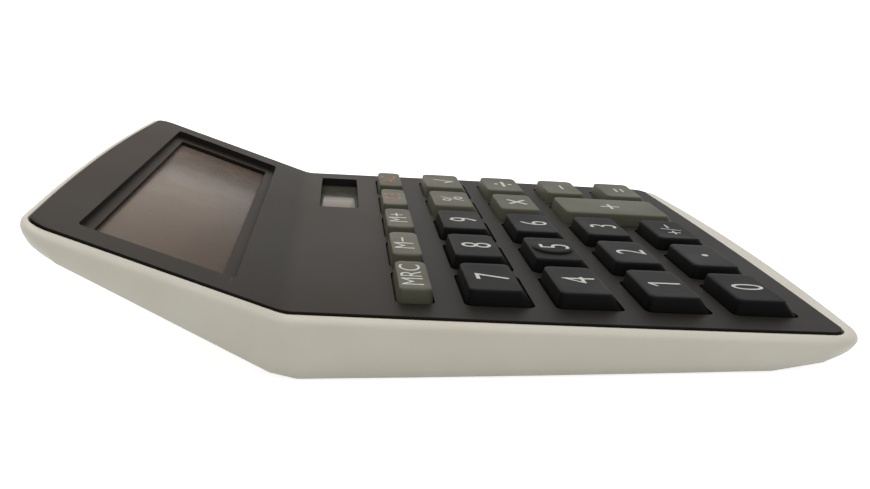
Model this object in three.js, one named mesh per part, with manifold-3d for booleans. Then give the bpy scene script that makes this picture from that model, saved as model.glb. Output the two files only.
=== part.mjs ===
// Desktop calculator: a white boat-shaped case, a bent dark panel, a display and 24 sprung keys.
// Millimetres. X to the right, Y towards the display, Z up, origin under the middle of the case.
import * as THREE from 'three';
import { mergeVertices } from 'three/addons/utils/BufferGeometryUtils.js';
import Module from 'manifold-3d';

const wasm = await Module();
wasm.setup();

// Angles of the two bent planes and of the small bottom slopes, in degrees
const keypadTilt = 3.04;
const displayTilt = 20.94;
const frontFacetTilt = 8.6;
const rearFacetTilt = 14.9;

// Shared clearances and overruns
const seatGap = 0.25;
const thinGap = 0.15;
const threadGap = 0.1;
const cutOverrun = 2;
const weldDistance = 0.0001;

// Keys
const columnCount = 5;
const keyRise = 2.73;
const keyTopWidth = 14.1;
const keyTopLength = 8.22;
const keySideFlare = 0.35;
const keyRearFlare = 0.39;
const keyFrontFlare = 1.94;
const keyCorner = 1.2;
const keyEdge = 0.35;
const keyGap = 0.3;
const columnRib = 2.6;
const rowRib = 2.85;
const memoryKeyLength = 5.02;
const memoryKeyRise = 2.53;
const memoryKeyFlare = 0.2;
const memoryRowRib = 4.4;
const flangeThick = 0.55;
const flangeSideShare = 0.23;
const flangeEndShare = 0.09;
const keyTravel = 0.95;
const homePadRadius = 3.65;
const homePadHeight = 0.35;

// Top panel
const panelThick = 1.3;
const panelEdge = 0.25;
const panelSideMargin = 5.89;
const panelFrontMargin = 5.15;
const panelFrontRadius = 2.6;
const panelRearRadius = 4.5;
const panelFrontBow = 0.8;
const panelRearBow = 1.1;
const pinShare = 0.6;
const pinHeadHeight = 0.45;
const pinHeadOver = 0.5;

// Display opening in the panel, measured along the display plane
const displayFrontMargin = 7.9;
const displayRearMargin = 6.6;
const displaySideMargin = 7.39;
const displayRecess = 0.9;
const displayCorner = 0.9;
const windowLength = 19.6;
const shelfFront = 1.8;
const shelfRear = 1.7;
const shelfSide = 3.7;
const shelfThick = 0.7;
const displayFrameOver = 0.9;

// Liquid crystal cell and its ribbon
const cellOverlap = 1.3;
const cellLedge = 2.5;
const frontGlassThick = 0.6;
const rearGlassThick = 0.6;
const cellWall = 1.1;
const cellWallDepth = 0.85;
const cellFloorGap = 0.4;
const ribbonWidth = 20;
const ribbonThick = 0.2;
const ribbonBond = 2;

// Solar cell under its own opening
const solarWidth = 28.7;
const solarLength = 8.1;
const solarRightMargin = 6.09;
const solarRearMargin = 3.47;
const solarFrontMargin = 4.45;
const solarCorner = 0.6;
const solarOverlap = 0.7;
const solarPaneThick = 0.8;
const solarCellThick = 1;
const solarWall = 0.8;

// Case
const floorThick = 1.2;
const wallThick = 1.2;
const grooveGap = 0.35;
const rimSide = 1.7;
const rimRear = 1.1;
const rimFront = 4.4;
const rimProud = 0.1;
const rimEdge = 0.6;
const rimEdgeShares = [[0.13, 0.45], [0.45, 0.1], [1, 0]];
const ledgeWidth = 1;
const caseFrontRadius = 6;
const caseRearRadius = 5.6;
const caseFrontBow = 2.1;
const caseRearBow = 1.1;
const barrelBow = 2.2;
const widestShare = 0.25;
const sideDraft = 3;
const frontDraft = 7.7;
const rearDraft = 5.6;
const flatEndLead = 1.6;
const rearFacetRun = 3.9;
const frontFacetLead = 3;

// Circuit board and rubber sheet
const boardThick = 0.8;
const boardFloorGap = 0.8;
const boardSideMargin = 4.96;
const boardFrontLip = 0.15;
const boardRearLip = 0.75;
const sheetThick = 0.35;
const sheetFrontLip = 1.6;
const sheetRearInset = 0.9;
const domeRadius = 2.6;
const domeTopRadius = 1.8;
const pressGap = 0.15;
const chipRadius = 5;
const chipHeight = 1.1;
const capacitorRadius = 1.4;
const capacitorLength = 5;
const diodeRadius = 0.8;
const diodeLength = 3.2;

// Button cell and its bay
const buttonRadius = 5.8;
const buttonHeight = 3.05;
const buttonCapRadius = 4.6;
const buttonCapHeight = 0.5;
const buttonGap = 0.5;
const bayInset = 31.64;
const bayWall = 1;
const bayRoof = 1;
const bayFrontGap = 0.6;
const contactThick = 0.25;
const contactWidth = 4;
const contactGap = 0.25;
const contactSlotGap = 0.3;
const tailHeight = 0.8;

// Battery door
const doorPlateThick = 0.75;
const doorLipThick = 0.55;
const doorTongueThick = 0.6;
const doorTongueWidth = 1;
const doorGap = 0.3;
const doorSideMargin = 1.8;
const doorRearCut = 0.5;
const doorTunnelRoof = 1.2;
const doorRidgeWidth = 0.5;
const doorRidgeDepth = 0.25;
const doorRidgeStep = 1.4;

// Screws and feet
const screwShankRadius = 0.95;
const screwHeadRadius = 1.9;
const screwHeadHeight = 1.2;
const screwLength = 6;
const screwSocketRadius = 0.7;
const screwSocketDepth = 0.6;
const screwSeatThick = 2.6;
const bossRadius = 3;
const postRadius = 2.1;
const postTopShare = 0.25;
const bossTopDepth = 4.6;
const screwHeadTopShare = 0.75;
const screwHeadSideShare = 0.35;
const rearScrewInset = 8.44;
const rearScrewLag = 1.7;
const middleScrewX = 6.5;
const middleScrewLead = 7.5;
const tongueWidth = 8;
const tongueReach = 1.5;
const tongueThick = 0.7;
const tongueSpacing = 30;
const footRadius = 4;
const footThick = 0.9;
const footGlue = 0.05;
const footProud = 0.5;
const footSideInset = 13.64;
const footFrontInset = 21.75;
const footRearInset = 46.75;

// Wires
const wireRadius = 0.45;
const wireSides = 6;
const wireSteps = 10;

// Counts that set how finely round shapes are drawn
const roundSides = 12;
const bigRoundSides = 24;
const cornerSteps = 2;
const edgeSteps = 4;
const caseCornerSteps = 4;

const radians = THREE.MathUtils.degToRad;
const alpha = radians(keypadTilt);
const beta = radians(displayTilt);
const fold = beta - alpha;

// Key grid, measured on the keypad plane from the bend: y is negative towards the front
const keyBaseWidth = keyTopWidth + 2 * keySideFlare;
const wellWidth = keyBaseWidth + 2 * keyGap;
const columnPitch = wellWidth + columnRib;
const rowPitch = keyTopLength + keyRearFlare + keyFrontFlare + 2 * keyGap + rowRib;
const keyRearReach = keyTopLength / 2 + keyRearFlare;
const keyFrontReach = keyTopLength / 2 + keyFrontFlare;
const memoryBaseLength = memoryKeyLength + 2 * memoryKeyFlare;
const stripLength = solarRearMargin + solarLength + solarFrontMargin;
const memoryRowY = -stripLength - keyGap - memoryBaseLength / 2;
const firstRowY = memoryRowY - memoryBaseLength / 2 - 2 * keyGap - memoryRowRib - keyRearReach;
const lastRowY = firstRowY - 3 * rowPitch;
const panelFrontY = lastRowY - keyFrontReach - keyGap - panelFrontMargin;
const panelHalf = (columnCount * columnPitch - columnRib) / 2 + panelSideMargin;
const columnX = (column) => (column - (columnCount - 1) / 2) * columnPitch;
const flangeSide = keyGap + columnRib * flangeSideShare;
const flangeEnd = keyGap + rowRib * flangeEndShare;

// Depths below the panel surface, on the keypad plane
const flangeTopDepth = panelThick + seatGap;
const flangeBottomDepth = flangeTopDepth + flangeThick;
const domeTopDepth = flangeBottomDepth + seatGap;
const sheetTopDepth = flangeBottomDepth + keyTravel + pressGap;
const sheetBottomDepth = sheetTopDepth + sheetThick;
const boardTopDepth = sheetBottomDepth + thinGap;
const boardBottomDepth = boardTopDepth + boardThick;
const frontRowDepth = boardBottomDepth + boardFloorGap + floorThick;

// The case, with its origin under the middle of its length
const recessLength = shelfFront + windowLength + shelfRear;
const recessRearU = displayFrontMargin + recessLength;
const panelRearU = recessRearU + displayRearMargin;
const frontRun = -panelFrontY * Math.cos(alpha) + rimFront;
const rearRun = (panelRearU + grooveGap + rimRear) * Math.cos(beta);
const halfLength = (frontRun + rearRun) / 2;
const bendY = halfLength - rearRun;
const bendHeight = frontRowDepth * Math.cos(alpha) - lastRowY * Math.sin(alpha);
const bendZ = footProud + bendHeight;
const caseHalf = panelHalf + grooveGap + rimSide;

// Depths below the display surface
const cellTopDepth = displayRecess + shelfThick + thinGap;
const cellMiddleDepth = cellTopDepth + frontGlassThick;
const cellBottomDepth = cellMiddleDepth + rearGlassThick;
const cellRearU = displayFrontMargin + shelfFront + windowLength + cellOverlap;
const cellFrontU = displayFrontMargin + shelfFront - cellOverlap - cellLedge / 2;
const recessHalf = panelHalf - displaySideMargin;
const windowHalf = recessHalf - shelfSide;
const cellHalf = windowHalf + cellOverlap;

// Straight lines that the deck and the underside follow in side view
const line = (y, z, tilt) => ({ y, z, tilt });
const lineZ = (l, y, lift) => l.z + (y - l.y) * Math.tan(l.tilt) + lift / Math.cos(l.tilt);
function crossing(a, b, lift) {
  const slopes = Math.tan(a.tilt) - Math.tan(b.tilt);
  return (lineZ(b, 0, lift) - lineZ(a, 0, lift)) / slopes;
}
const highest = (lines, y, lift) => Math.max(...lines.map((l) => lineZ(l, y, lift)));

const flatEndY = bendY - flatEndLead;
const facetEndY = flatEndY + rearFacetRun;
const facetEndZ = footProud + rearFacetRun * Math.tan(radians(rearFacetTilt));
const boardFrontY = lastRowY - domeRadius - boardFrontLip;
const flatFrontY = bendY + boardFrontY * Math.cos(alpha) + frontFacetLead;
const rearStackDepth = cellBottomDepth + cellFloorGap + floorThick;
const rearPointY = bendY + cellRearU * Math.cos(beta) + rearStackDepth * Math.sin(beta);
const rearPointZ = bendZ + cellRearU * Math.sin(beta) - rearStackDepth * Math.cos(beta);
const rearSlope = Math.atan2(rearPointZ - facetEndZ, rearPointY - facetEndY);

const keypadLine = line(bendY, bendZ, alpha);
const displayLine = line(bendY, bendZ, beta);
const deckLines = [keypadLine, displayLine];
const flatLine = line(0, footProud, 0);
const rearFacetLine = line(flatEndY, footProud, radians(rearFacetTilt));
const rearLine = line(facetEndY, facetEndZ, rearSlope);
const frontFacetLine = line(flatFrontY, footProud, -radians(frontFacetTilt));
const keelLines = [flatLine, rearFacetLine, rearLine, frontFacetLine];
const deck = (y, lift) => highest(deckLines, y, lift);
const keel = (y, lift) => highest(keelLines, y, lift);

// Frames of the two planes, both with their origin on the panel surface at the bend
const keypadFrame = new THREE.Matrix4().makeRotationX(alpha).setPosition(0, bendY, bendZ);
const displayInKeypad = new THREE.Matrix4().makeRotationX(fold);

// Closed solids for cutting and joining
function solid(geometry) {
  const bare = geometry.clone();
  bare.deleteAttribute('normal');
  bare.deleteAttribute('uv');
  const merged = mergeVertices(bare, weldDistance);
  const vertProperties = new Float32Array(merged.attributes.position.array);
  const triVerts = new Uint32Array(merged.index.array);
  return new wasm.Manifold(new wasm.Mesh({ numProp: 3, vertProperties, triVerts }));
}

function geometryOf(body) {
  const mesh = body.getMesh();
  const geometry = new THREE.BufferGeometry();
  geometry.setAttribute('position', new THREE.BufferAttribute(mesh.vertProperties, 3));
  geometry.setIndex(new THREE.BufferAttribute(mesh.triVerts, 1));
  return geometry;
}

const joined = (bodies) => bodies.reduce((sum, body) => sum.add(body));
const cut = (body, tools) => tools.reduce((rest, tool) => rest.subtract(tool), body);

// Simple shapes given by their limits
function boxBetween(low, high) {
  const size = high.map((value, i) => value - low[i]);
  const middle = high.map((value, i) => (value + low[i]) / 2);
  return new THREE.BoxGeometry(...size).translate(...middle);
}

function drum(radius, low, high, x, y, sides = roundSides, topRadius = radius) {
  const geometry = new THREE.CylinderGeometry(topRadius, radius, high - low, sides);
  return geometry.rotateX(Math.PI / 2).translate(x, y, (low + high) / 2);
}

// A closed body through rings of points, each ring anticlockwise seen from above
function loft(rings, mirrored) {
  const count = rings[0].length;
  const positions = rings.flat().flatMap((p) => [p.x, p.y, p.z]);
  const faces = [];
  for (let r = 0; r + 1 < rings.length; r += 1) {
    for (let i = 0; i < count; i += 1) {
      const a = r * count + i;
      const b = r * count + ((i + 1) % count);
      faces.push(a, b, b + count, a, b + count, a + count);
    }
  }
  const cap = mirrored ? stripCap(count) : fanCap(count);
  const last = (rings.length - 1) * count;
  for (const [a, b, c] of cap) {
    faces.push(a, c, b);
    faces.push(a + last, b + last, c + last);
  }
  const geometry = new THREE.BufferGeometry();
  geometry.setAttribute('position', new THREE.Float32BufferAttribute(positions, 3));
  geometry.setIndex(faces);
  return geometry;
}

function fanCap(count) {
  const cap = [];
  for (let i = 1; i + 1 < count; i += 1) cap.push([0, i, i + 1]);
  return cap;
}

function stripCap(count) {
  const half = count / 2;
  const cap = [];
  for (let i = 0; i < half; i += 1) {
    const left = (count - i) % count;
    const leftNext = count - i - 1;
    if (i > 0) cap.push([left, i, leftNext]);
    if (i + 1 < half) cap.push([i, i + 1, leftNext]);
  }
  return cap;
}

// Half of a plan outline, from the front middle round the right side to the rear middle
function halfOutline(o, stations) {
  const points = [];
  const frontFlat = o.half - o.frontRadius;
  const rearFlat = o.half - o.rearRadius;
  for (let i = 0; i < edgeSteps; i += 1) {
    const share = i / edgeSteps;
    points.push({ x: frontFlat * share, y: o.frontY + o.frontBow * share ** 2 });
  }
  const frontCornerY = o.frontY + o.frontBow + o.frontRadius;
  for (let i = 0; i <= caseCornerSteps; i += 1) {
    const turn = (Math.PI / 2) * (i / caseCornerSteps);
    const x = frontFlat + o.frontRadius * Math.sin(turn);
    points.push({ x, y: frontCornerY - o.frontRadius * Math.cos(turn) });
  }
  for (const y of stations) points.push({ x: o.half, y });
  const rearCornerY = o.rearY - o.rearBow - o.rearRadius;
  for (let i = 0; i <= caseCornerSteps; i += 1) {
    const turn = (Math.PI / 2) * (i / caseCornerSteps);
    const x = rearFlat + o.rearRadius * Math.cos(turn);
    points.push({ x, y: rearCornerY + o.rearRadius * Math.sin(turn) });
  }
  for (let i = edgeSteps - 1; i >= 0; i -= 1) {
    const share = i / edgeSteps;
    points.push({ x: rearFlat * share, y: o.rearY - o.rearBow * share ** 2 });
  }
  return points;
}

// Draws a half outline inwards by its own amounts at the side, the front and the rear
function drawnIn(points, o, side, front, rear) {
  const frontCornerY = o.frontY + o.frontBow + o.frontRadius;
  const rearCornerY = o.rearY - o.rearBow - o.rearRadius;
  return points.map((p) => {
    const x = p.x * (1 - side / o.half);
    if (p.y < frontCornerY) {
      const share = 1 - front / (frontCornerY - o.frontY);
      return { x, y: frontCornerY + (p.y - frontCornerY) * share };
    }
    if (p.y > rearCornerY) {
      const share = 1 - rear / (o.rearY - rearCornerY);
      return { x, y: rearCornerY + (p.y - rearCornerY) * share };
    }
    return { x, y: p.y };
  });
}

// The sides bow out, widest a little before the middle, so each point is drawn in by its place
const widestY = -halfLength * 2 * widestShare;
function barrelled(x, y) {
  const share = (y - widestY) / (halfLength - widestY);
  return x * (1 - (barrelBow / caseHalf) * share ** 2);
}
const raised = (points, height) => points.map((p) => ({ x: barrelled(p.x, p.y), y: p.y, z: height(p.y) }));
function wholeRing(half) {
  const left = half.slice(1, -1).reverse();
  return [...half, ...left.map((p) => ({ x: -p.x, y: p.y, z: p.z }))];
}

const caseOutline = {
  half: caseHalf,
  frontY: -halfLength,
  rearY: halfLength,
  frontRadius: caseFrontRadius,
  rearRadius: caseRearRadius,
  frontBow: caseFrontBow,
  rearBow: caseRearBow,
};
const openingOutline = {
  half: panelHalf + grooveGap,
  frontY: bendY + panelFrontY * Math.cos(alpha) - grooveGap,
  rearY: bendY + panelRearU * Math.cos(beta) + grooveGap,
  frontRadius: panelFrontRadius + grooveGap,
  rearRadius: panelRearRadius + grooveGap,
  frontBow: panelFrontBow,
  rearBow: panelRearBow,
};

// Height, side and end shares of the wall's rings between the rim and the underside
const wallShares = [
  [0, 0, 0],
  [0.2, 0.09, 0.05],
  [0.45, 0.28, 0.17],
  [0.7, 0.54, 0.45],
  [0.88, 0.78, 0.75],
  [0.97, 0.9, 0.93],
  [1, 1, 1],
];

function deckRing(o, inset, lift) {
  const middleY = (flatFrontY + flatEndY) / 2;
  const stations = [flatFrontY, middleY, flatEndY, crossing(keypadLine, displayLine, lift), facetEndY];
  const points = drawnIn(halfOutline(o, stations), o, inset, inset, inset);
  return raised(points, (y) => deck(y, lift));
}

function keelRing(o, side, front, rear, lift) {
  const flatStart = crossing(flatLine, frontFacetLine, lift);
  const flatStop = crossing(flatLine, rearFacetLine, lift);
  const facetStop = crossing(rearFacetLine, rearLine, lift);
  const stations = [flatStart, (flatStart + flatStop) / 2, flatStop, (flatStop + facetStop) / 2, facetStop];
  const points = drawnIn(halfOutline(o, stations), o, side, front, rear);
  return raised(points, (y) => keel(y, lift));
}

function wallRings() {
  const top = deckRing(caseOutline, 0, rimProud - rimEdge);
  const bottom = keelRing(caseOutline, sideDraft, frontDraft, rearDraft, 0);
  const between = (a, b, share) => a + (b - a) * share;
  return wallShares.map(([height, side, end]) =>
    top.map((p, i) => ({
      x: between(p.x, bottom[i].x, side),
      y: between(p.y, bottom[i].y, end),
      z: between(p.z, bottom[i].z, height),
    })),
  );
}

// Button cell bay, measured in the case's own frame
const bayCentreX = bayInset - caseHalf;
const boardRearY = memoryRowY + memoryBaseLength / 2 + keyGap + boardRearLip;
const boardRearCaseY = bendY + boardRearY * Math.cos(alpha) + boardBottomDepth * Math.sin(alpha);
const bayFrontY = boardRearCaseY + bayFrontGap;
const cavityHalf = buttonRadius + buttonGap;
const bayCentreY = bayFrontY + bayWall + cavityHalf;
const bayRearY = bayCentreY + cavityHalf + bayWall;
const contactSpace = contactThick + contactGap + thinGap;
const cavityLeftX = bayCentreX - cavityHalf - contactSpace;
const cavityRightX = bayCentreX + cavityHalf;
const doorHalf = cavityHalf + doorSideMargin;
const doorTongueBottomZ = footProud + doorLipThick + doorGap;
const doorTopZ = footProud + doorPlateThick + doorTongueThick + doorGap;
const cavityFloorZ = doorTopZ + doorGap;
const buttonTopZ = cavityFloorZ + buttonHeight;
const contactZ = buttonTopZ + contactGap;
const bayRoofZ = contactZ + contactThick + contactGap;
const bayTopZ = bayRoofZ + bayRoof;
const doorFrontY = bayFrontY + doorGap;
const doorRearY = facetEndY - doorRearCut;
const tunnelTopZ = cavityFloorZ + doorTunnelRoof;
const tunnelRearY = crossing(rearLine, line(0, tunnelTopZ, 0), 0) + wallThick;
const bayHalf = doorHalf + doorTongueWidth + doorGap + bayWall;
const tailZ = bayTopZ + tailHeight;
const minusTailY = bayFrontY + 2 * bayWall;
const plusTailX = cavityLeftX + thinGap;

// Everything that stands on the floor is trimmed to the outside of the case
function caseAdditions() {
  const parts = [];
  const bayLow = [bayCentreX - bayHalf, bayFrontY, 0];
  parts.push(solid(boxBetween(bayLow, [bayCentreX + bayHalf, bayRearY, bayTopZ])));
  const tunnelLow = [bayCentreX - bayHalf, bayRearY - bayWall, 0];
  parts.push(solid(boxBetween(tunnelLow, [bayCentreX + bayHalf, tunnelRearY, tunnelTopZ])));
  for (const [x, y] of screwPlaces) {
    const boss = drum(bossRadius, -bendHeight - footProud, -bossTopDepth, x, y);
    parts.push(solid(boss.applyMatrix4(keypadFrame)));
  }
  return joined(parts);
}

const rearScrewX = caseHalf - rearScrewInset;
const screwPlaces = [
  [-rearScrewX, rearScrewLag],
  [rearScrewX, rearScrewLag],
  [middleScrewX, -middleScrewLead],
];
const screwSeatDepth = bossTopDepth + screwSeatThick;
const footPlaces = [
  [-1, -halfLength + footFrontInset],
  [1, -halfLength + footFrontInset],
  [-1, halfLength - footRearInset],
  [1, halfLength - footRearInset],
].map(([side, y]) => [side * (caseHalf - footSideInset), y]);
const tonguePlaces = [-tongueSpacing, 0, tongueSpacing];

function doorSlot() {
  const rear = tunnelRearY + cutOverrun;
  const plateHalf = doorHalf + doorGap;
  const tongueHalf = doorHalf + doorTongueWidth + doorGap;
  const tongueLow = [bayCentreX - tongueHalf, bayFrontY, doorTongueBottomZ - doorGap];
  const plateLow = [bayCentreX - plateHalf, bayFrontY, -cutOverrun];
  return joined([
    solid(boxBetween(plateLow, [bayCentreX + plateHalf, rear, cavityFloorZ])),
    solid(boxBetween(tongueLow, [bayCentreX + tongueHalf, rear, cavityFloorZ])),
  ]);
}

function bayCavity() {
  const low = [cavityLeftX, bayCentreY - cavityHalf, footProud];
  const high = [cavityRightX, bayCentreY + cavityHalf, bayRoofZ];
  const tailHalf = contactWidth / 2 + contactSlotGap;
  const tailSlot = contactThick / 2 + contactSlotGap;
  const minusLow = [bayCentreX - tailHalf, minusTailY - tailSlot, contactZ];
  const minusHigh = [bayCentreX + tailHalf, minusTailY + tailSlot, bayTopZ + cutOverrun];
  const plusLow = [cavityLeftX - thinGap, bayCentreY - tailHalf, contactZ];
  const plusHigh = [plusTailX + contactThick + contactSlotGap, bayCentreY + tailHalf, bayTopZ + cutOverrun];
  return [boxBetween(low, high), boxBetween(minusLow, minusHigh), boxBetween(plusLow, plusHigh)].map(solid);
}

function lowerCase() {
  const wall = wallRings();
  const hull = solid(loft([...wall].reverse().map(wholeRing), true));
  const rim = rimEdgeShares.map(([inset, drop]) =>
    deckRing(caseOutline, rimEdge * inset, rimProud - rimEdge * drop),
  );
  const inside = [
    deckRing(openingOutline, 0, rimProud - thinGap),
    deckRing(openingOutline, 0, -panelThick - seatGap),
    deckRing(openingOutline, grooveGap + ledgeWidth, -panelThick - seatGap),
    keelRing(caseOutline, sideDraft + wallThick, frontDraft + wallThick, rearDraft + wallThick, floorThick),
  ];
  const tub = solid(loft([...[...wall].reverse(), ...rim, ...inside].map(wholeRing), true));
  const additions = caseAdditions().intersect(hull);
  const cuts = [doorSlot(), ...bayCavity()];
  for (const [x, y] of screwPlaces) {
    const low = -bendHeight - 2 * cutOverrun;
    const headWell = drum(screwHeadRadius + seatGap, low, -screwSeatDepth, x, y);
    const shankHole = drum(screwShankRadius + seatGap, low, -bossTopDepth + cutOverrun / 2, x, y);
    cuts.push(solid(headWell.applyMatrix4(keypadFrame)));
    cuts.push(solid(shankHole.applyMatrix4(keypadFrame)));
  }
  for (const [x, y] of footPlaces) {
    cuts.push(solid(drum(footRadius + seatGap, -cutOverrun, footThick, x, y, bigRoundSides)));
  }
  for (const x of tonguePlaces) {
    const half = tongueWidth / 2 + seatGap;
    const low = [x - half, panelFrontY - tongueReach - seatGap, -panelThick - seatGap];
    const high = [x + half, panelFrontY + cutOverrun, -panelThick + tongueThick + seatGap];
    cuts.push(solid(boxBetween(low, high).applyMatrix4(keypadFrame)));
  }
  return geometryOf(cut(tub.add(additions), cuts));
}

// Rounded rectangle ring at one height
function roundRing(width, rear, front, corner, z, shift = 0) {
  const points = [];
  const corners = [
    [width / 2 - corner, -front + corner, -Math.PI / 2],
    [width / 2 - corner, rear - corner, 0],
    [-width / 2 + corner, rear - corner, Math.PI / 2],
    [-width / 2 + corner, -front + corner, Math.PI],
  ];
  for (const [x, y, start] of corners) {
    for (let i = 0; i <= cornerSteps; i += 1) {
      const turn = start + (Math.PI / 2) * (i / cornerSteps);
      points.push({ x: shift + x + corner * Math.cos(turn), y: y + corner * Math.sin(turn), z });
    }
  }
  return points;
}

const moved = (ring, x, y) => ring.map((p) => ({ x: p.x + x, y: p.y + y, z: p.z }));

// Key caps stand at their own place on the keypad plane
function keyCap(key) {
  const memory = key.row < 0;
  const rearFlare = memory ? memoryKeyFlare : keyRearFlare;
  const frontFlare = memory ? memoryKeyFlare : keyFrontFlare;
  const rise = memory ? memoryKeyRise : keyRise;
  const halfTop = (memory ? memoryKeyLength : keyTopLength) / 2;
  const frontTop = halfTop + (key.tall ? rowPitch : 0);
  const topWidth = memory ? keyBaseWidth - 2 * memoryKeyFlare : keyTopWidth;
  const rear = halfTop + rearFlare;
  const front = frontTop + frontFlare;
  const flangeWidth = keyBaseWidth + 2 * flangeSide;
  const out = keyEdge / 4;
  const edge = keyEdge / 2;
  const rings = [
    roundRing(flangeWidth, rear + flangeEnd, front + flangeEnd, keyCorner, -flangeBottomDepth),
    roundRing(flangeWidth, rear + flangeEnd, front + flangeEnd, keyCorner, -flangeTopDepth),
    roundRing(keyBaseWidth, rear, front, keyCorner, -flangeTopDepth),
    roundRing(keyBaseWidth, rear, front, keyCorner, 0),
    roundRing(topWidth + 2 * out, halfTop + out, frontTop + out, keyCorner, rise - keyEdge),
    roundRing(topWidth - 2 * edge, halfTop - edge, frontTop - edge, keyCorner - edge, rise),
  ];
  const cap = loft(rings.map((ring) => moved(ring, key.x, key.y)), false);
  if (!key.pad) return cap;
  const pad = drum(homePadRadius, rise - keyEdge, rise + homePadHeight, key.x, key.y, bigRoundSides);
  return geometryOf(solid(cap).add(solid(pad)));
}

function keyWell(key) {
  const memory = key.row < 0;
  const halfTop = (memory ? memoryKeyLength : keyTopLength) / 2;
  const rear = halfTop + (memory ? memoryKeyFlare : keyRearFlare) + keyGap;
  const tall = key.tall ? rowPitch : 0;
  const front = halfTop + tall + (memory ? memoryKeyFlare : keyFrontFlare) + keyGap;
  const rings = [-panelThick - cutOverrun, cutOverrun].map((z) =>
    moved(roundRing(wellWidth, rear, front, keyCorner, z), key.x, key.y),
  );
  return solid(loft(rings, false));
}

const keyRows = [
  ['mrc', 'm_minus', 'm_plus', 'clear_entry', 'all_clear'],
  ['7', '8', '9', 'percent', 'root'],
  ['4', '5', '6', 'multiply', 'divide'],
  ['1', '2', '3', 'plus', 'minus'],
  ['0', 'point', 'sign', null, 'equals'],
];
const blackKeys = ['7', '8', '9', '4', '5', '6', '1', '2', '3', '0', 'point', 'sign'];
const keys = [];
keyRows.forEach((names, index) => {
  names.forEach((name, column) => {
    if (!name) return;
    const row = index - 1;
    const y = row < 0 ? memoryRowY : firstRowY - row * rowPitch;
    const x = columnX(column);
    keys.push({ name, row, x, y, tall: name === 'plus', pad: name === '5', black: blackKeys.includes(name) });
  });
});

// Locating pins stand where four key wells meet, given as column and row of the well above left
const pinCells = [[0, 0], [1, 0], [2, 0], [3, 0], [0, 2], [1, 2], [2, 1], [3, 1]];
const wellCornerX = columnRib / 2 - columnRib * flangeSideShare + keyCorner;
const wellCornerY = rowRib / 2 - rowRib * flangeEndShare + keyCorner;
const pinRadius = (Math.hypot(wellCornerX, wellCornerY) - keyCorner) * pinShare;
const pinPlaces = pinCells.map(([column, row]) => {
  const x = (columnX(column) + columnX(column + 1)) / 2;
  const frontOfRow = firstRowY - row * rowPitch - keyFrontReach - keyGap;
  return [x, frontOfRow - rowRib / 2];
});

// Top panel, in the frame of the keypad plane
const panelOutline = {
  half: panelHalf,
  frontY: panelFrontY,
  rearY: panelRearU * Math.cos(fold),
  frontRadius: panelFrontRadius,
  rearRadius: panelRearRadius,
  frontBow: panelFrontBow,
  rearBow: panelRearBow,
};
const panelKeypadLine = line(0, 0, 0);
const panelDisplayLine = line(0, 0, fold);
function panelRing(inset, lift) {
  const bend = crossing(panelKeypadLine, panelDisplayLine, lift);
  const stations = [lastRowY, firstRowY, bend, displayFrontMargin];
  const points = drawnIn(halfOutline(panelOutline, stations), panelOutline, inset, inset, inset);
  const lifted = points.map((p) => {
    const z = highest([panelKeypadLine, panelDisplayLine], p.y, lift);
    const caseY = bendY + p.y * Math.cos(alpha) - z * Math.sin(alpha);
    return { x: barrelled(p.x, caseY), y: p.y, z };
  });
  return wholeRing(lifted);
}

const inDisplay = (geometry) => geometry.applyMatrix4(displayInKeypad);
const solarCentreX = panelHalf - solarRightMargin - solarWidth / 2;
const solarCentreY = -solarRearMargin - solarLength / 2;
const solarPaneTop = panelThick + thinGap;
const solarPaneBottom = solarPaneTop + solarPaneThick;
const solarCellTop = solarPaneBottom + thinGap;
const solarCellBottom = solarCellTop + solarCellThick;
const solarHalfX = solarWidth / 2 + solarOverlap;
const solarHalfY = solarLength / 2 + solarOverlap;

function frameAround(centre, inner, wall, low, high) {
  const outerLow = [centre[0] - inner[0] - wall, centre[1] - inner[1] - wall, low];
  const outerHigh = [centre[0] + inner[0] + wall, centre[1] + inner[1] + wall, high];
  const innerLow = [centre[0] - inner[0], centre[1] - inner[1], low - cutOverrun];
  const innerHigh = [centre[0] + inner[0], centre[1] + inner[1], high + cutOverrun];
  return solid(boxBetween(outerLow, outerHigh)).subtract(solid(boxBetween(innerLow, innerHigh)));
}

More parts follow.
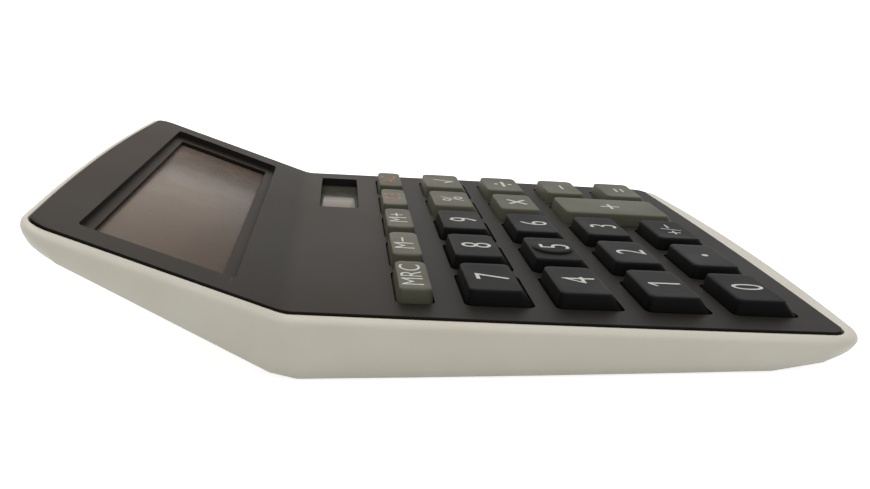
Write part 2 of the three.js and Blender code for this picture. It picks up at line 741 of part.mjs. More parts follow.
function topPanel() {
  const plate = solid(
    loft([panelRing(0, -panelThick), panelRing(0, -panelEdge), panelRing(panelEdge, 0)], true),
  );
  const recessMiddleU = displayFrontMargin + recessLength / 2;
  const overFront = displayFrontMargin - displayFrameOver;
  const overRear = recessRearU + displayFrameOver;
  const overHalf = recessHalf + displayFrameOver;
  const shelfDepth = displayRecess + shelfThick;
  const block = boxBetween([-overHalf, overFront, -shelfDepth], [overHalf, overRear, -panelThick / 2]);
  const cellCentre = [0, (cellFrontU + cellRearU) / 2];
  const cellInner = [cellHalf + seatGap, (cellRearU - cellFrontU) / 2 + seatGap];
  const wallLow = -shelfDepth - cellWallDepth;
  const cellFrame = frameAround(cellCentre, cellInner, cellWall, wallLow, -panelThick / 2 - thinGap);
  const solarInner = [solarHalfX + seatGap, solarHalfY + seatGap];
  const solarCentre = [solarCentreX, solarCentreY];
  const solarFrame = frameAround(solarCentre, solarInner, solarWall, -solarCellBottom, -panelThick / 2);
  const displayBlock = solid(inDisplay(block));
  const displayFrame = solid(inDisplay(geometryOf(cellFrame)));
  const bodies = [plate, displayBlock, displayFrame, solarFrame];
  for (const [x, y] of screwPlaces) {
    bodies.push(solid(drum(postRadius, -bossTopDepth + seatGap, -panelThick * postTopShare, x, y)));
  }
  for (const [x, y] of pinPlaces) {
    bodies.push(solid(drum(pinRadius, -boardBottomDepth - seatGap, -panelThick / 2, x, y)));
    const headTop = -boardBottomDepth - thinGap;
    bodies.push(solid(drum(pinRadius + pinHeadOver, headTop - pinHeadHeight, headTop, x, y)));
  }
  for (const x of tonguePlaces) {
    const low = [x - tongueWidth / 2, panelFrontY - tongueReach, -panelThick];
    const high = [x + tongueWidth / 2, panelFrontY + panelThick, -panelThick + tongueThick];
    bodies.push(solid(boxBetween(low, high)));
  }
  const recess = [-displayRecess, cutOverrun].map((z) => {
    const ring = roundRing(2 * recessHalf, recessLength / 2, recessLength / 2, displayCorner, z);
    return moved(ring, 0, recessMiddleU);
  });
  const windowLow = [-windowHalf, displayFrontMargin + shelfFront, -shelfDepth - cutOverrun / 2];
  const windowHigh = [windowHalf, displayFrontMargin + shelfFront + windowLength, cutOverrun];
  const solarCut = [-panelThick - cutOverrun / 2, cutOverrun].map((z) => {
    const ring = roundRing(solarWidth, solarLength / 2, solarLength / 2, solarCorner, z);
    return moved(ring, solarCentreX, solarCentreY);
  });
  const cuts = [
    solid(inDisplay(loft(recess, false))),
    solid(inDisplay(boxBetween(windowLow, windowHigh))),
    solid(loft(solarCut, false)),
    ...keys.map(keyWell),
  ];
  for (const [x, y] of screwPlaces) {
    const top = -screwSeatDepth + screwLength + seatGap;
    cuts.push(solid(drum(screwShankRadius + threadGap, -bossTopDepth - cutOverrun, top, x, y)));
  }
  return geometryOf(cut(joined(bodies), cuts));
}

// Flat sheet with round holes, from its limits
function holedSheet(half, front, rear, bottom, top, holes) {
  const outline = new THREE.Shape([
    new THREE.Vector2(-half, front),
    new THREE.Vector2(half, front),
    new THREE.Vector2(half, rear),
    new THREE.Vector2(-half, rear),
  ]);
  for (const [x, y, radius] of holes) {
    outline.holes.push(new THREE.Path().absarc(x, y, radius, 0, 2 * Math.PI, true));
  }
  const settings = { depth: top - bottom, bevelEnabled: false, curveSegments: roundSides / 2 };
  return new THREE.ExtrudeGeometry(outline, settings).translate(0, 0, bottom);
}

const boardHalf = panelHalf - boardSideMargin;
const pinHoles = pinPlaces.map(([x, y]) => [x, y, pinRadius + seatGap]);

function mainBoard() {
  return holedSheet(boardHalf, boardFrontY, boardRearY, -boardBottomDepth, -boardTopDepth, pinHoles);
}

function keypadSheet() {
  const front = lastRowY - domeRadius - sheetFrontLip;
  const rear = boardRearY - sheetRearInset;
  const sheet = holedSheet(boardHalf, front, rear, -sheetBottomDepth, -sheetTopDepth, pinHoles);
  const domes = keys.map((key) => {
    const y = key.y - (key.tall ? rowPitch / 2 : 0);
    const low = -sheetTopDepth - sheetThick / 2;
    return solid(drum(domeRadius, low, -domeTopDepth, key.x, y, roundSides / 2, domeTopRadius));
  });
  return geometryOf(joined([solid(sheet), ...domes]));
}

// A thin strip bent along points in the YZ plane, of a given width along X
function strip(points, thickness, width, x) {
  const sides = [[], []];
  points.forEach(([y, z], i) => {
    const before = points[Math.max(i - 1, 0)];
    const after = points[Math.min(i + 1, points.length - 1)];
    const along = new THREE.Vector2(after[0] - before[0], after[1] - before[1]).normalize();
    const across = new THREE.Vector2(-along.y, along.x).multiplyScalar(thickness / 2);
    sides[0].push(new THREE.Vector2(y - across.x, z - across.y));
    sides[1].push(new THREE.Vector2(y + across.x, z + across.y));
  });
  const outline = new THREE.Shape([...sides[0], ...sides[1].reverse()]);
  const bar = new THREE.ExtrudeGeometry(outline, { depth: width, bevelEnabled: false });
  return bar.applyMatrix4(yzToCase).translate(x - width / 2, 0, 0);
}
const yzToCase = new THREE.Matrix4().set(0, 0, 1, 0, 1, 0, 0, 0, 0, 1, 0, 0, 0, 0, 0, 1);

function displayRibbon() {
  const bond = new THREE.Vector3(0, cellFrontU + ribbonBond, -cellMiddleDepth - ribbonThick);
  bond.applyMatrix4(displayInKeypad);
  const start = new THREE.Vector3(0, cellFrontU + thinGap, -cellMiddleDepth - ribbonThick);
  start.applyMatrix4(displayInKeypad);
  const underBoard = -boardBottomDepth - ribbonThick;
  const underSolar = -solarCellBottom - solarWall;
  const points = [
    [boardRearY - 2 * ribbonBond, underBoard],
    [boardRearY, underBoard],
    [solarCentreY - solarHalfY - solarWall, Math.min(underSolar, underBoard)],
    [solarCentreY + solarHalfY + solarWall, underSolar],
    [start.y - ribbonBond, start.z - ribbonBond / 2],
    [start.y, start.z],
    [bond.y, bond.z],
  ];
  return strip(points, ribbonThick, ribbonWidth, solarCentreX);
}

// Liquid crystal cell: the front glass is longer, so that its ledge takes the ribbon
function displayCell() {
  const front = boxBetween([-cellHalf, cellFrontU, -cellMiddleDepth], [cellHalf, cellRearU, -cellTopDepth]);
  const backLow = [-cellHalf, cellFrontU + cellLedge, -cellBottomDepth];
  const backHigh = [cellHalf, cellRearU, -cellMiddleDepth + frontGlassThick / 2];
  return geometryOf(solid(front).add(solid(boxBetween(backLow, backHigh))));
}

// Wire along points chosen in the keypad frame
function wire(points) {
  const path = new THREE.CatmullRomCurve3(points.map((p) => new THREE.Vector3(...p)));
  const section = new THREE.Shape();
  for (let i = 0; i < wireSides; i += 1) {
    const turn = (2 * Math.PI * i) / wireSides;
    const place = [wireRadius * Math.cos(turn), wireRadius * Math.sin(turn)];
    if (i === 0) section.moveTo(...place);
    else section.lineTo(...place);
  }
  section.closePath();
  return new THREE.ExtrudeGeometry(section, { steps: wireSteps, extrudePath: path, bevelEnabled: false });
}

function screw() {
  const headLow = -screwHeadHeight;
  const outline = [
    [0, headLow + screwSocketDepth],
    [screwSocketRadius, headLow + screwSocketDepth],
    [screwSocketRadius, headLow],
    [screwHeadRadius * screwHeadTopShare, headLow],
    [screwHeadRadius, headLow + screwHeadHeight * screwHeadSideShare],
    [screwHeadRadius, 0],
    [screwShankRadius, 0],
    [screwShankRadius, screwLength - screwShankRadius],
    [0, screwLength],
  ].map(([r, z]) => new THREE.Vector2(r, z));
  return new THREE.LatheGeometry(outline, roundSides).rotateX(Math.PI / 2);
}

function foot() {
  return drum(footRadius, 0, footThick - footGlue, 0, 0, bigRoundSides);
}

function buttonCell() {
  const outline = [
    [0, 0],
    [buttonRadius, 0],
    [buttonRadius, buttonHeight - buttonCapHeight],
    [buttonCapRadius, buttonHeight - buttonCapHeight],
    [buttonCapRadius, buttonHeight],
    [0, buttonHeight],
  ].map(([r, z]) => new THREE.Vector2(r, z));
  return new THREE.LatheGeometry(outline, bigRoundSides).rotateX(Math.PI / 2);
}

// Sliding battery door: its outside follows the underside of the case
function batteryDoor() {
  const under = [doorFrontY, flatEndY, doorRearY].map((y) => [y, keel(y, 0)]);
  const profile = (low) => {
    const points = low.map(([y, z]) => new THREE.Vector2(y, z));
    points.push(new THREE.Vector2(doorRearY, doorTopZ));
    points.push(new THREE.Vector2(doorFrontY, doorTopZ));
    return new THREE.Shape(points);
  };
  const extruded = (shape, half) =>
    new THREE.ExtrudeGeometry(shape, { depth: 2 * half, bevelEnabled: false })
      .applyMatrix4(yzToCase)
      .translate(bayCentreX - half, 0, 0);
  const plate = solid(extruded(profile(under), doorHalf));
  const tongueLow = [bayCentreX - doorHalf - doorTongueWidth, doorFrontY, doorTongueBottomZ];
  const tongueHigh = [bayCentreX + doorHalf + doorTongueWidth, doorRearY, doorTopZ];
  const tongues = solid(boxBetween(tongueLow, tongueHigh));
  const ridges = [-1, 0, 1].map((step) => {
    const y = bayCentreY + step * doorRidgeStep;
    const low = [bayCentreX - doorHalf / 2, y - doorRidgeWidth / 2, -cutOverrun];
    const high = [bayCentreX + doorHalf / 2, y + doorRidgeWidth / 2, footProud + doorRidgeDepth];
    return solid(boxBetween(low, high));
  });
  return geometryOf(cut(plate.add(tongues), ridges));
}

function minusContact() {
  const points = [
    [bayCentreY + buttonCapRadius / 2, contactZ + contactThick / 2],
    [minusTailY, contactZ + contactThick / 2],
    [minusTailY, tailZ],
  ];
  return strip(points, contactThick, contactWidth, bayCentreX);
}

function plusContact() {
  const half = contactWidth / 2;
  const low = [plusTailX, bayCentreY - half, cavityFloorZ + contactGap];
  return boxBetween(low, [plusTailX + contactThick, bayCentreY + half, tailZ]);
}

// Finishes
const finish = (color, roughness, metalness = 0) => ({ color, roughness, metalness });
const whitePlastic = finish('#d9d6cb', 0.42);
const panelPlastic = finish('#35352f', 0.4);
const blackPlastic = finish('#2b2c2a', 0.45);
const olivePlastic = finish('#66665a', 0.45);
const displayGlass = finish('#6f655a', 0.15);
const paneGlass = finish('#7c7d70', 0.15);
const solarGlass = finish('#3b3633', 0.25);
const rubberGrey = finish('#8f918c', 0.8);
const boardGreen = finish('#4c6a3a', 0.55);
const chipBlack = finish('#151515', 0.35);
const steel = finish('#b8b8b4', 0.3, 1);
const brass = finish('#b8974f', 0.35, 1);
const filmAmber = finish('#a8793c', 0.4);
const redWire = finish('#b3261e', 0.5);
const blackWire = finish('#1b1b1b', 0.5);

const calculator = new THREE.Group();
const keypad = new THREE.Group();
keypad.rotation.x = alpha;
keypad.position.set(0, bendY, bendZ);
const display = new THREE.Group();
display.rotation.x = fold;
keypad.add(display);
calculator.add(keypad);

function place(group, name, geometry, look, position = [0, 0, 0]) {
  const mesh = new THREE.Mesh(geometry, new THREE.MeshStandardMaterial(look));
  mesh.name = name;
  mesh.position.set(...position);
  group.add(mesh);
}

place(calculator, 'lower_case', lowerCase(), whitePlastic);
place(keypad, 'top_panel', topPanel(), panelPlastic);
for (const key of keys) {
  const look = key.black ? blackPlastic : olivePlastic;
  place(keypad, `key_${key.name}`, keyCap(key), look);
}

place(keypad, 'keypad_sheet', keypadSheet(), rubberGrey);
place(keypad, 'main_board', mainBoard(), boardGreen);
const partsZ = -boardBottomDepth - thinGap;
const chip = drum(chipRadius, -chipHeight, 0, 0, 0, bigRoundSides);
place(keypad, 'chip_cover', chip, chipBlack, [-columnPitch, firstRowY + rowRib, partsZ]);
const lyingRod = (radius, length) =>
  new THREE.CylinderGeometry(radius, radius, length, roundSides).rotateZ(Math.PI / 2);
const rodY = memoryRowY;
const capacitor = lyingRod(capacitorRadius, capacitorLength);
place(keypad, 'capacitor', capacitor, steel, [columnPitch / 2, rodY, partsZ - capacitorRadius]);
const diode = lyingRod(diodeRadius, diodeLength);
place(keypad, 'regulator_diode', diode, redWire, [0, rodY, partsZ - diodeRadius]);

place(display, 'display_cell', displayCell(), displayGlass);
place(keypad, 'display_ribbon', displayRibbon(), filmAmber);
const solarLayer = (bottom, top) =>
  boxBetween([-solarHalfX, -solarHalfY, -bottom], [solarHalfX, solarHalfY, -top]);
const solarPane = solarLayer(solarPaneBottom, solarPaneTop);
const solarBase = solarLayer(solarCellBottom, solarCellTop);
place(keypad, 'solar_window', solarPane, paneGlass, [solarCentreX, solarCentreY, 0]);
place(keypad, 'solar_cell', solarBase, solarGlass, [solarCentreX, solarCentreY, 0]);

place(calculator, 'button_cell', buttonCell(), steel, [bayCentreX, bayCentreY, cavityFloorZ]);
place(calculator, 'contact_minus', minusContact(), brass);
place(calculator, 'contact_plus', plusContact(), brass);
place(calculator, 'battery_door', batteryDoor(), whitePlastic);

const screwNames = ['case_screw_rear_left', 'case_screw_rear_right', 'case_screw_middle'];
screwPlaces.forEach(([x, y], i) => {
  place(keypad, screwNames[i], screw(), steel, [x, y, -screwSeatDepth - thinGap]);
});
const footNames = ['foot_front_left', 'foot_front_right', 'foot_rear_left', 'foot_rear_right'];
footPlaces.forEach(([x, y], i) => place(calculator, footNames[i], foot(), blackPlastic, [x, y, 0]));

// Wire ends lie a little off the pads that they are soldered to
const toKeypad = keypadFrame.clone().invert();
const inKeypad = (x, y, z) => new THREE.Vector3(x, y, z).applyMatrix4(toKeypad).toArray();
const padY = boardRearY - boardRearLip / 2;
const padZ = -boardTopDepth + wireRadius + thinGap;
const wireOff = wireRadius + thinGap;

const overRoofZ = bayTopZ + wireOff;

function boardWire(start, x) {
  const edge = inKeypad(x, bayFrontY, overRoofZ);
  const over = start.map((value, i) => (value + edge[i]) / 2);
  return wire([start, over, edge, [x, padY, padZ]]);
}

const minusTop = inKeypad(bayCentreX, minusTailY - contactThick - wireOff, overRoofZ);
const plusTop = inKeypad(plusTailX - wireOff, bayCentreY, overRoofZ);
place(keypad, 'battery_wire_minus', boardWire(minusTop, bayCentreX + contactWidth), blackWire);
place(keypad, 'battery_wire_plus', boardWire(plusTop, plusTailX - contactWidth), redWire);
const solarBack = -solarCellBottom - wireOff;
const solarFrontY = solarCentreY - solarHalfY - solarWall - seatGap;
for (const [name, side, look] of [['solar_wire_minus', -1, blackWire], ['solar_wire_plus', 1, redWire]]) {
  const x = solarCentreX + side * (solarHalfX - solarWall * 2);
  const under = [x, solarCentreY, solarBack];
  const out = [x, solarFrontY - wireRadius, solarBack];
  place(keypad, name, wire([under, out, [x, padY, padZ]]), look);
}

export default calculator;
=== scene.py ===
"""Desktop calculator: the finished look of every piece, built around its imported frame."""

import logging
import math
from dataclasses import dataclass, field
from enum import Enum
from typing import Any, Iterable, Optional, Sequence

import bmesh
import bpy
from mathutils import Matrix, Vector


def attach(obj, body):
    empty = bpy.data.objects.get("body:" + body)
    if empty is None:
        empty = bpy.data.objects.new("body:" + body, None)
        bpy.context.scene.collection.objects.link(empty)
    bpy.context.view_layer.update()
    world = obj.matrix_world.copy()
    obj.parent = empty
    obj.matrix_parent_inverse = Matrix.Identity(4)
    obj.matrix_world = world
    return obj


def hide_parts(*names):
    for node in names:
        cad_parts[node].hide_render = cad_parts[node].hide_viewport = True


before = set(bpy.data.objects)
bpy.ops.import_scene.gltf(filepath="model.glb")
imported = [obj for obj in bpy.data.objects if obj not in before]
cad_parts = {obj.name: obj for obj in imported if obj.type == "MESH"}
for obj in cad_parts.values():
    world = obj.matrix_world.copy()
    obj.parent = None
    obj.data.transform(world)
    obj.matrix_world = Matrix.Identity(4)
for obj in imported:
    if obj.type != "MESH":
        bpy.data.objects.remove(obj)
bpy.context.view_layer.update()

logging.basicConfig(level=logging.INFO, format="%(message)s")
log = logging.getLogger("calculator")

MM = 0.001
WHITE = (1, 1, 1, 1)
# Spans of a noise's values over which colours and roughness change
COLOUR_SPAN = (0.35, 0.65)
GLOSS_SPAN = (0.3, 0.7)
Point = tuple[float, float, float]
Spot = tuple[float, float]
Ring = list[Point]
Piece = bpy.types.Object
Material = bpy.types.Material
Socket = bpy.types.NodeSocket
Inputs = dict[int | str, Any]


def to_linear(code: str) -> tuple[float, float, float, float]:
    """Turns an sRGB hex colour into linear values.

    Args:
        code: six hex digits after a hash.

    Returns:
        Linear red, green, blue and an alpha of one.
    """
    parts = [int(code[i:i + 2], 16) / 255 for i in (1, 3, 5)]
    linear = [c / 12.92 if c <= 0.04045 else ((c + 0.055) / 1.055) ** 2.4 for c in parts]
    return (linear[0], linear[1], linear[2], 1.0)


@dataclass(frozen=True)
class Sizes:
    """The calculator's driving sizes in millimetres and degrees, as its construction has them."""

    keypad_tilt: float = 3.04
    display_tilt: float = 20.94
    front_facet_tilt: float = 8.6
    rear_facet_tilt: float = 14.9
    seat_gap: float = 0.25
    thin_gap: float = 0.15
    columns: int = 5
    key_rise: float = 2.73
    key_top_width: float = 14.1
    key_top_length: float = 8.22
    key_side_flare: float = 0.35
    key_rear_flare: float = 0.39
    key_front_flare: float = 1.94
    key_corner: float = 1.2
    key_edge: float = 0.35
    key_gap: float = 0.3
    column_rib: float = 2.6
    row_rib: float = 2.85
    memory_length: float = 5.02
    memory_rise: float = 2.53
    memory_flare: float = 0.2
    memory_row_rib: float = 4.4
    flange_thick: float = 0.55
    flange_side_share: float = 0.23
    flange_end_share: float = 0.09
    key_travel: float = 0.95
    pad_radius: float = 3.65
    pad_height: float = 0.35
    panel_thick: float = 1.3
    panel_side_margin: float = 5.89
    panel_front_margin: float = 5.15
    panel_front_radius: float = 2.6
    panel_rear_radius: float = 3.0
    panel_front_bow: float = 0.8
    panel_rear_bow: float = 1.1
    display_front_margin: float = 7.9
    display_rear_margin: float = 6.6
    display_side_margin: float = 7.39
    display_recess: float = 0.9
    display_corner: float = 0.9
    window_length: float = 19.6
    shelf_front: float = 1.8
    shelf_rear: float = 1.7
    shelf_side: float = 3.7
    shelf_thick: float = 0.7
    solar_width: float = 28.7
    solar_length: float = 8.1
    solar_right_margin: float = 6.09
    solar_rear_margin: float = 3.47
    solar_front_margin: float = 4.45
    solar_corner: float = 0.6
    floor_thick: float = 1.2
    wall_thick: float = 1.2
    groove_gap: float = 0.35
    rim_side: float = 1.7
    rim_rear: float = 1.1
    rim_front: float = 4.4
    rim_proud: float = 0.1
    rim_edge: float = 1.2
    rim_rear_edge: float = 0.7
    inner_corner: float = 2.0
    ledge_width: float = 1.0
    case_front_radius: float = 6.0
    case_rear_radius: float = 4.6
    case_front_bow: float = 2.1
    case_rear_bow: float = 1.1
    barrel_bow: float = 2.2
    widest_share: float = 0.25
    side_draft: float = 3.0
    front_draft: float = 7.7
    rear_draft: float = 5.6
    flat_end_lead: float = 1.6
    rear_facet_run: float = 3.9
    front_facet_lead: float = 3.0
    sheet_thick: float = 0.35
    press_gap: float = 0.15
    board_thick: float = 0.8
    board_floor_gap: float = 0.8
    board_front_lip: float = 0.15
    dome_radius: float = 2.6
    glass_stack: float = 1.2
    cell_overlap: float = 1.3
    cell_floor_gap: float = 0.4
    foot_proud: float = 0.5
    foot_radius: float = 4.0
    foot_side_inset: float = 13.64
    foot_front_inset: float = 21.75
    foot_rear_inset: float = 46.75
    screw_places: tuple[Spot, ...] = ((-43.2, 1.7), (43.2, 1.7), (6.5, -7.5))
    screw_head_radius: float = 1.9
    screw_seat_depth: float = 7.2

    @property
    def alpha(self) -> float:
        """Slope of the keypad in radians."""
        return math.radians(self.keypad_tilt)

    @property
    def beta(self) -> float:
        """Slope of the display in radians."""
        return math.radians(self.display_tilt)

    @property
    def base_width(self) -> float:
        """Width of a key where it meets the panel."""
        return self.key_top_width + 2 * self.key_side_flare

    @property
    def column_pitch(self) -> float:
        """Distance from one column of keys to the next."""
        return self.base_width + 2 * self.key_gap + self.column_rib

    @property
    def row_pitch(self) -> float:
        """Distance from one row of digit keys to the next."""
        flares = self.key_rear_flare + self.key_front_flare
        return self.key_top_length + flares + 2 * self.key_gap + self.row_rib

    @property
    def memory_base(self) -> float:
        """Length of a memory key where it meets the panel."""
        return self.memory_length + 2 * self.memory_flare

    @property
    def memory_y(self) -> float:
        """Middle of the memory row, from the bend."""
        strip = self.solar_rear_margin + self.solar_length + self.solar_front_margin
        return -strip - self.key_gap - self.memory_base / 2

    @property
    def first_row_y(self) -> float:
        """Middle of the rearmost digit row, from the bend."""
        reach = self.key_top_length / 2 + self.key_rear_flare
        return self.memory_y - self.memory_base / 2 - 2 * self.key_gap - self.memory_row_rib - reach

    @property
    def last_row_y(self) -> float:
        """Middle of the front row, from the bend."""
        return self.first_row_y - 3 * self.row_pitch

    @property
    def panel_front_y(self) -> float:
        """Front edge of the panel, from the bend."""
        reach = self.key_top_length / 2 + self.key_front_flare
        return self.last_row_y - reach - self.key_gap - self.panel_front_margin

    @property
    def panel_half(self) -> float:
        """Half of the panel's width."""
        return (self.columns * self.column_pitch - self.column_rib) / 2 + self.panel_side_margin

    @property
    def recess_length(self) -> float:
        """Length of the display's outer recess."""
        return self.shelf_front + self.window_length + self.shelf_rear

    @property
    def panel_rear_u(self) -> float:
        """Rear edge of the panel, along the display plane from the bend."""
        return self.display_front_margin + self.recess_length + self.display_rear_margin

    @property
    def board_bottom(self) -> float:
        """Depth of the circuit board's underside below the panel surface."""
        flange = self.panel_thick + self.seat_gap + self.flange_thick
        sheet = flange + self.key_travel + self.press_gap + self.sheet_thick
        return sheet + self.thin_gap + self.board_thick

    @property
    def rear_run(self) -> float:
        """Length of the case behind the bend."""
        return (self.panel_rear_u + self.groove_gap + self.rim_rear) * math.cos(self.beta)

    @property
    def half_length(self) -> float:
        """Half of the case's length."""
        front_run = -self.panel_front_y * math.cos(self.alpha) + self.rim_front
        return (front_run + self.rear_run) / 2

    @property
    def bend_y(self) -> float:
        """Place of the bend along the case."""
        return self.half_length - self.rear_run

    @property
    def bend_z(self) -> float:
        """Height of the panel surface at the bend."""
        depth = self.board_bottom + self.board_floor_gap + self.floor_thick
        return self.foot_proud + depth * math.cos(self.alpha) - self.last_row_y * math.sin(self.alpha)

    @property
    def case_half(self) -> float:
        """Half of the case's width."""
        return self.panel_half + self.groove_gap + self.rim_side

    @property
    def recess_half(self) -> float:
        """Half of the width of the display's outer recess."""
        return self.panel_half - self.display_side_margin

    @property
    def window_half(self) -> float:
        """Half of the width of the display's window."""
        return self.recess_half - self.shelf_side

    @property
    def foot_places(self) -> list[Spot]:
        """Places of the feet in plan.

        Returns:
            The places, from the front left.
        """
        x = self.case_half - self.foot_side_inset
        front = -self.half_length + self.foot_front_inset
        rear = self.half_length - self.foot_rear_inset
        return [(-x, front), (x, front), (-x, rear), (x, rear)]

    @property
    def solar_middle(self) -> Spot:
        """Middle of the solar opening on the keypad plane."""
        return (self.panel_half - self.solar_right_margin - self.solar_width / 2,
                -self.solar_rear_margin - self.solar_length / 2)

    def barrelled(self, x: float, y: float) -> float:
        """Draws a place in towards the ends of the case, whose sides are gently bowed."""
        widest = -self.half_length * 2 * self.widest_share
        share = (y - widest) / (self.half_length - widest)
        return x * (1 - self.barrel_bow / self.case_half * share ** 2)

    def column_x(self, column: int) -> float:
        """Middle of a column of keys."""
        return (column - (self.columns - 1) / 2) * self.column_pitch

    def keypad_matrix(self) -> Matrix:
        """Frame of the keypad plane, in millimetres, with its origin on the panel at the bend."""
        return Matrix.Translation((0, self.bend_y, self.bend_z)) @ Matrix.Rotation(self.alpha, 4, "X")

    def display_matrix(self) -> Matrix:
        """Frame of the display plane, in millimetres, with its origin on the panel at the bend."""
        return Matrix.Translation((0, self.bend_y, self.bend_z)) @ Matrix.Rotation(self.beta, 4, "X")


@dataclass(frozen=True)
class SideLine:
    """A straight line that the case follows in side view.

    Attributes:
        y: a place on the line.
        z: its height there.
        tilt: its slope in radians.
    """

    y: float
    z: float
    tilt: float

    def height(self, y: float, lift: float) -> float:
        """Height of the line at y, moved outwards square to itself by lift."""
        return self.z + (y - self.y) * math.tan(self.tilt) + lift / math.cos(self.tilt)

    def crossing(self, other: "SideLine", lift: float) -> float:
        """Place where this line meets another, both moved by lift."""
        slopes = math.tan(self.tilt) - math.tan(other.tilt)
        return (other.height(0, lift) - self.height(0, lift)) / slopes


@dataclass(frozen=True)
class PlanOutline:
    """A rounded rectangle with bowed ends, seen from above."""

    half: float
    front_y: float
    rear_y: float
    front_radius: float
    rear_radius: float
    front_bow: float
    rear_bow: float
    edge_steps: int = 12
    corner_steps: int = 10

    def half_points(self, stations: Iterable[float]) -> list[Spot]:
        """Points from the front middle round the right side to the rear middle.

        Args:
            stations: places along the straight side that need a point.

        Returns:
            The points of the right half.
        """
        ends = []
        for end_y, bow, radius, inwards in ((self.front_y, self.front_bow, self.front_radius, 1),
                                            (self.rear_y, self.rear_bow, self.rear_radius, -1)):
            flat = self.half - radius
            shares = [i / self.edge_steps for i in range(self.edge_steps)]
            end = [(flat * share, end_y + inwards * bow * share ** 2) for share in shares]
            corner = end_y + inwards * bow + inwards * radius
            for i in range(self.corner_steps + 1):
                turn = math.pi / 2 * i / self.corner_steps
                end.append((flat + radius * math.sin(turn), corner - inwards * radius * math.cos(turn)))
            ends.append(end)
        return ends[0] + [(self.half, y) for y in stations] + ends[1][::-1]

    def drawn_in(self, points: list[Spot], side: float, front: float, rear: float) -> list[Spot]:
        """Moves points inwards by their own amounts at the side, the front and the rear.

        Args:
            points: points of the right half.
            side: how far the side moves in.
            front: how far the front end moves in.
            rear: how far the rear end moves in.

        Returns:
            The moved points.
        """
        front_corner = self.front_y + self.front_bow + self.front_radius
        rear_corner = self.rear_y - self.rear_bow - self.rear_radius
        moved = []
        for x, y in points:
            if y < front_corner:
                y = front_corner + (y - front_corner) * (1 - front / (front_corner - self.front_y))
            elif y > rear_corner:
                y = rear_corner + (y - rear_corner) * (1 - rear / (self.rear_y - rear_corner))
            moved.append((x * (1 - side / self.half), y))
        return moved


def spaced(start: float, end: float, count: int) -> list[float]:
    """Evenly spaced places from start up to, but without, end."""
    return [start + (end - start) * k / count for k in range(count)]


def whole_ring(half: Ring) -> Ring:
    """Adds the mirrored left half to a right half."""
    return half + [(-x, y, z) for x, y, z in reversed(half[1:-1])]


def round_ring(width: float, rear: float, front: float, corner: float, z: float, steps: int = 6) -> Ring:
    """A rounded rectangle at one height, anticlockwise from the front right corner.

    Args:
        width: its whole width.
        rear: how far it reaches behind the origin.
        front: how far it reaches before the origin.
        corner: its corner radius.
        z: its height.
        steps: faces in each corner.

    Returns:
        The ring's points.
    """
    centres = [
        (width / 2 - corner, -front + corner, -math.pi / 2),
        (width / 2 - corner, rear - corner, 0.0),
        (-width / 2 + corner, rear - corner, math.pi / 2),
        (-width / 2 + corner, -front + corner, math.pi),
    ]
    ring = []
    for x, y, start in centres:
        for i in range(steps + 1):
            turn = start + math.pi / 2 * i / steps
            ring.append((x + corner * math.cos(turn), y + corner * math.sin(turn), z))
    return ring


def circle_ring(radius: float, z: float, steps: int = 40) -> Ring:
    """A circle at one height."""
    turns = [2 * math.pi * i / steps for i in range(steps)]
    return [(radius * math.cos(t), radius * math.sin(t), z) for t in turns]


def shifted(rings: Iterable[Ring], place: Spot) -> list[Ring]:
    """Moves rings in plan."""
    x, y = place
    return [[(a + x, b + y, c) for a, b, c in ring] for ring in rings]


def new_object(name: str, data: bpy.types.ID) -> Piece:
    """Puts a mesh, curve, lamp or camera into the scene as an object at the origin."""
    piece = bpy.data.objects.new(name, data)
    bpy.context.scene.collection.objects.link(piece)
    return piece


def loft(name: str, rings: Sequence[Ring], mirrored: bool = False, place: Matrix = Matrix()) -> Piece:
    """A closed body through rings that each run anticlockwise seen from above.

    Args:
        name: the object's name.
        rings: the rings, given in the order of the skin, in millimetres.
        mirrored: true closes the ends with strips from side to side, false with one face.
        place: a frame in millimetres.

    Returns:
        The new object, in metres.
    """
    count = len(rings[0])
    points = [place @ Vector(p) * MM for ring in rings for p in ring]
    faces = []
    for r in range(len(rings) - 1):
        for i in range(count):
            a = r * count + i
            b = r * count + (i + 1) % count
            faces.append((a, b, b + count, a + count))
    last = (len(rings) - 1) * count
    if mirrored:
        for i in range(count // 2):
            strip = [i, i + 1, count - i - 1, (count - i) % count]
            strip = list(dict.fromkeys(strip))
            if len(strip) > 2:
                faces.append(tuple(reversed(strip)))
                faces.append(tuple(last + k for k in strip))
    else:
        faces.append(tuple(reversed(range(count))))
        faces.append(tuple(range(last, last + count)))
    mesh = bpy.data.meshes.new(name)
    mesh.from_pydata(points, [], faces)
    mesh.update()
    return new_object(name, mesh)


def block(name: str, low: Point, high: Point, place: Matrix = Matrix()) -> Piece:
    """A box between two corners, in millimetres in the given frame."""
    ring = [(low[0], low[1]), (high[0], low[1]), (high[0], high[1]), (low[0], high[1])]
    return loft(name, [[(x, y, z) for x, y in ring] for z in (low[2], high[2])], place=place)


def drum(name: str, radius: float, heights: Spot, middle: Spot, place: Matrix = Matrix()) -> Piece:
    """A cylinder along Z between two heights, in millimetres in the given frame."""
    steps = 48
    return loft(name, shifted([circle_ring(radius, z, steps) for z in heights], middle), place=place)


def pocket(name: str, size: Spot, corner: float, heights: Spot, middle: Spot, place: Matrix) -> Piece:
    """A block with rounded upright edges between two heights, in millimetres in the given frame."""
    width, half = size[0], size[1] / 2
    rings = [round_ring(width, half, half, corner, z) for z in heights]
    return loft(name, shifted(rings, middle), place=place)


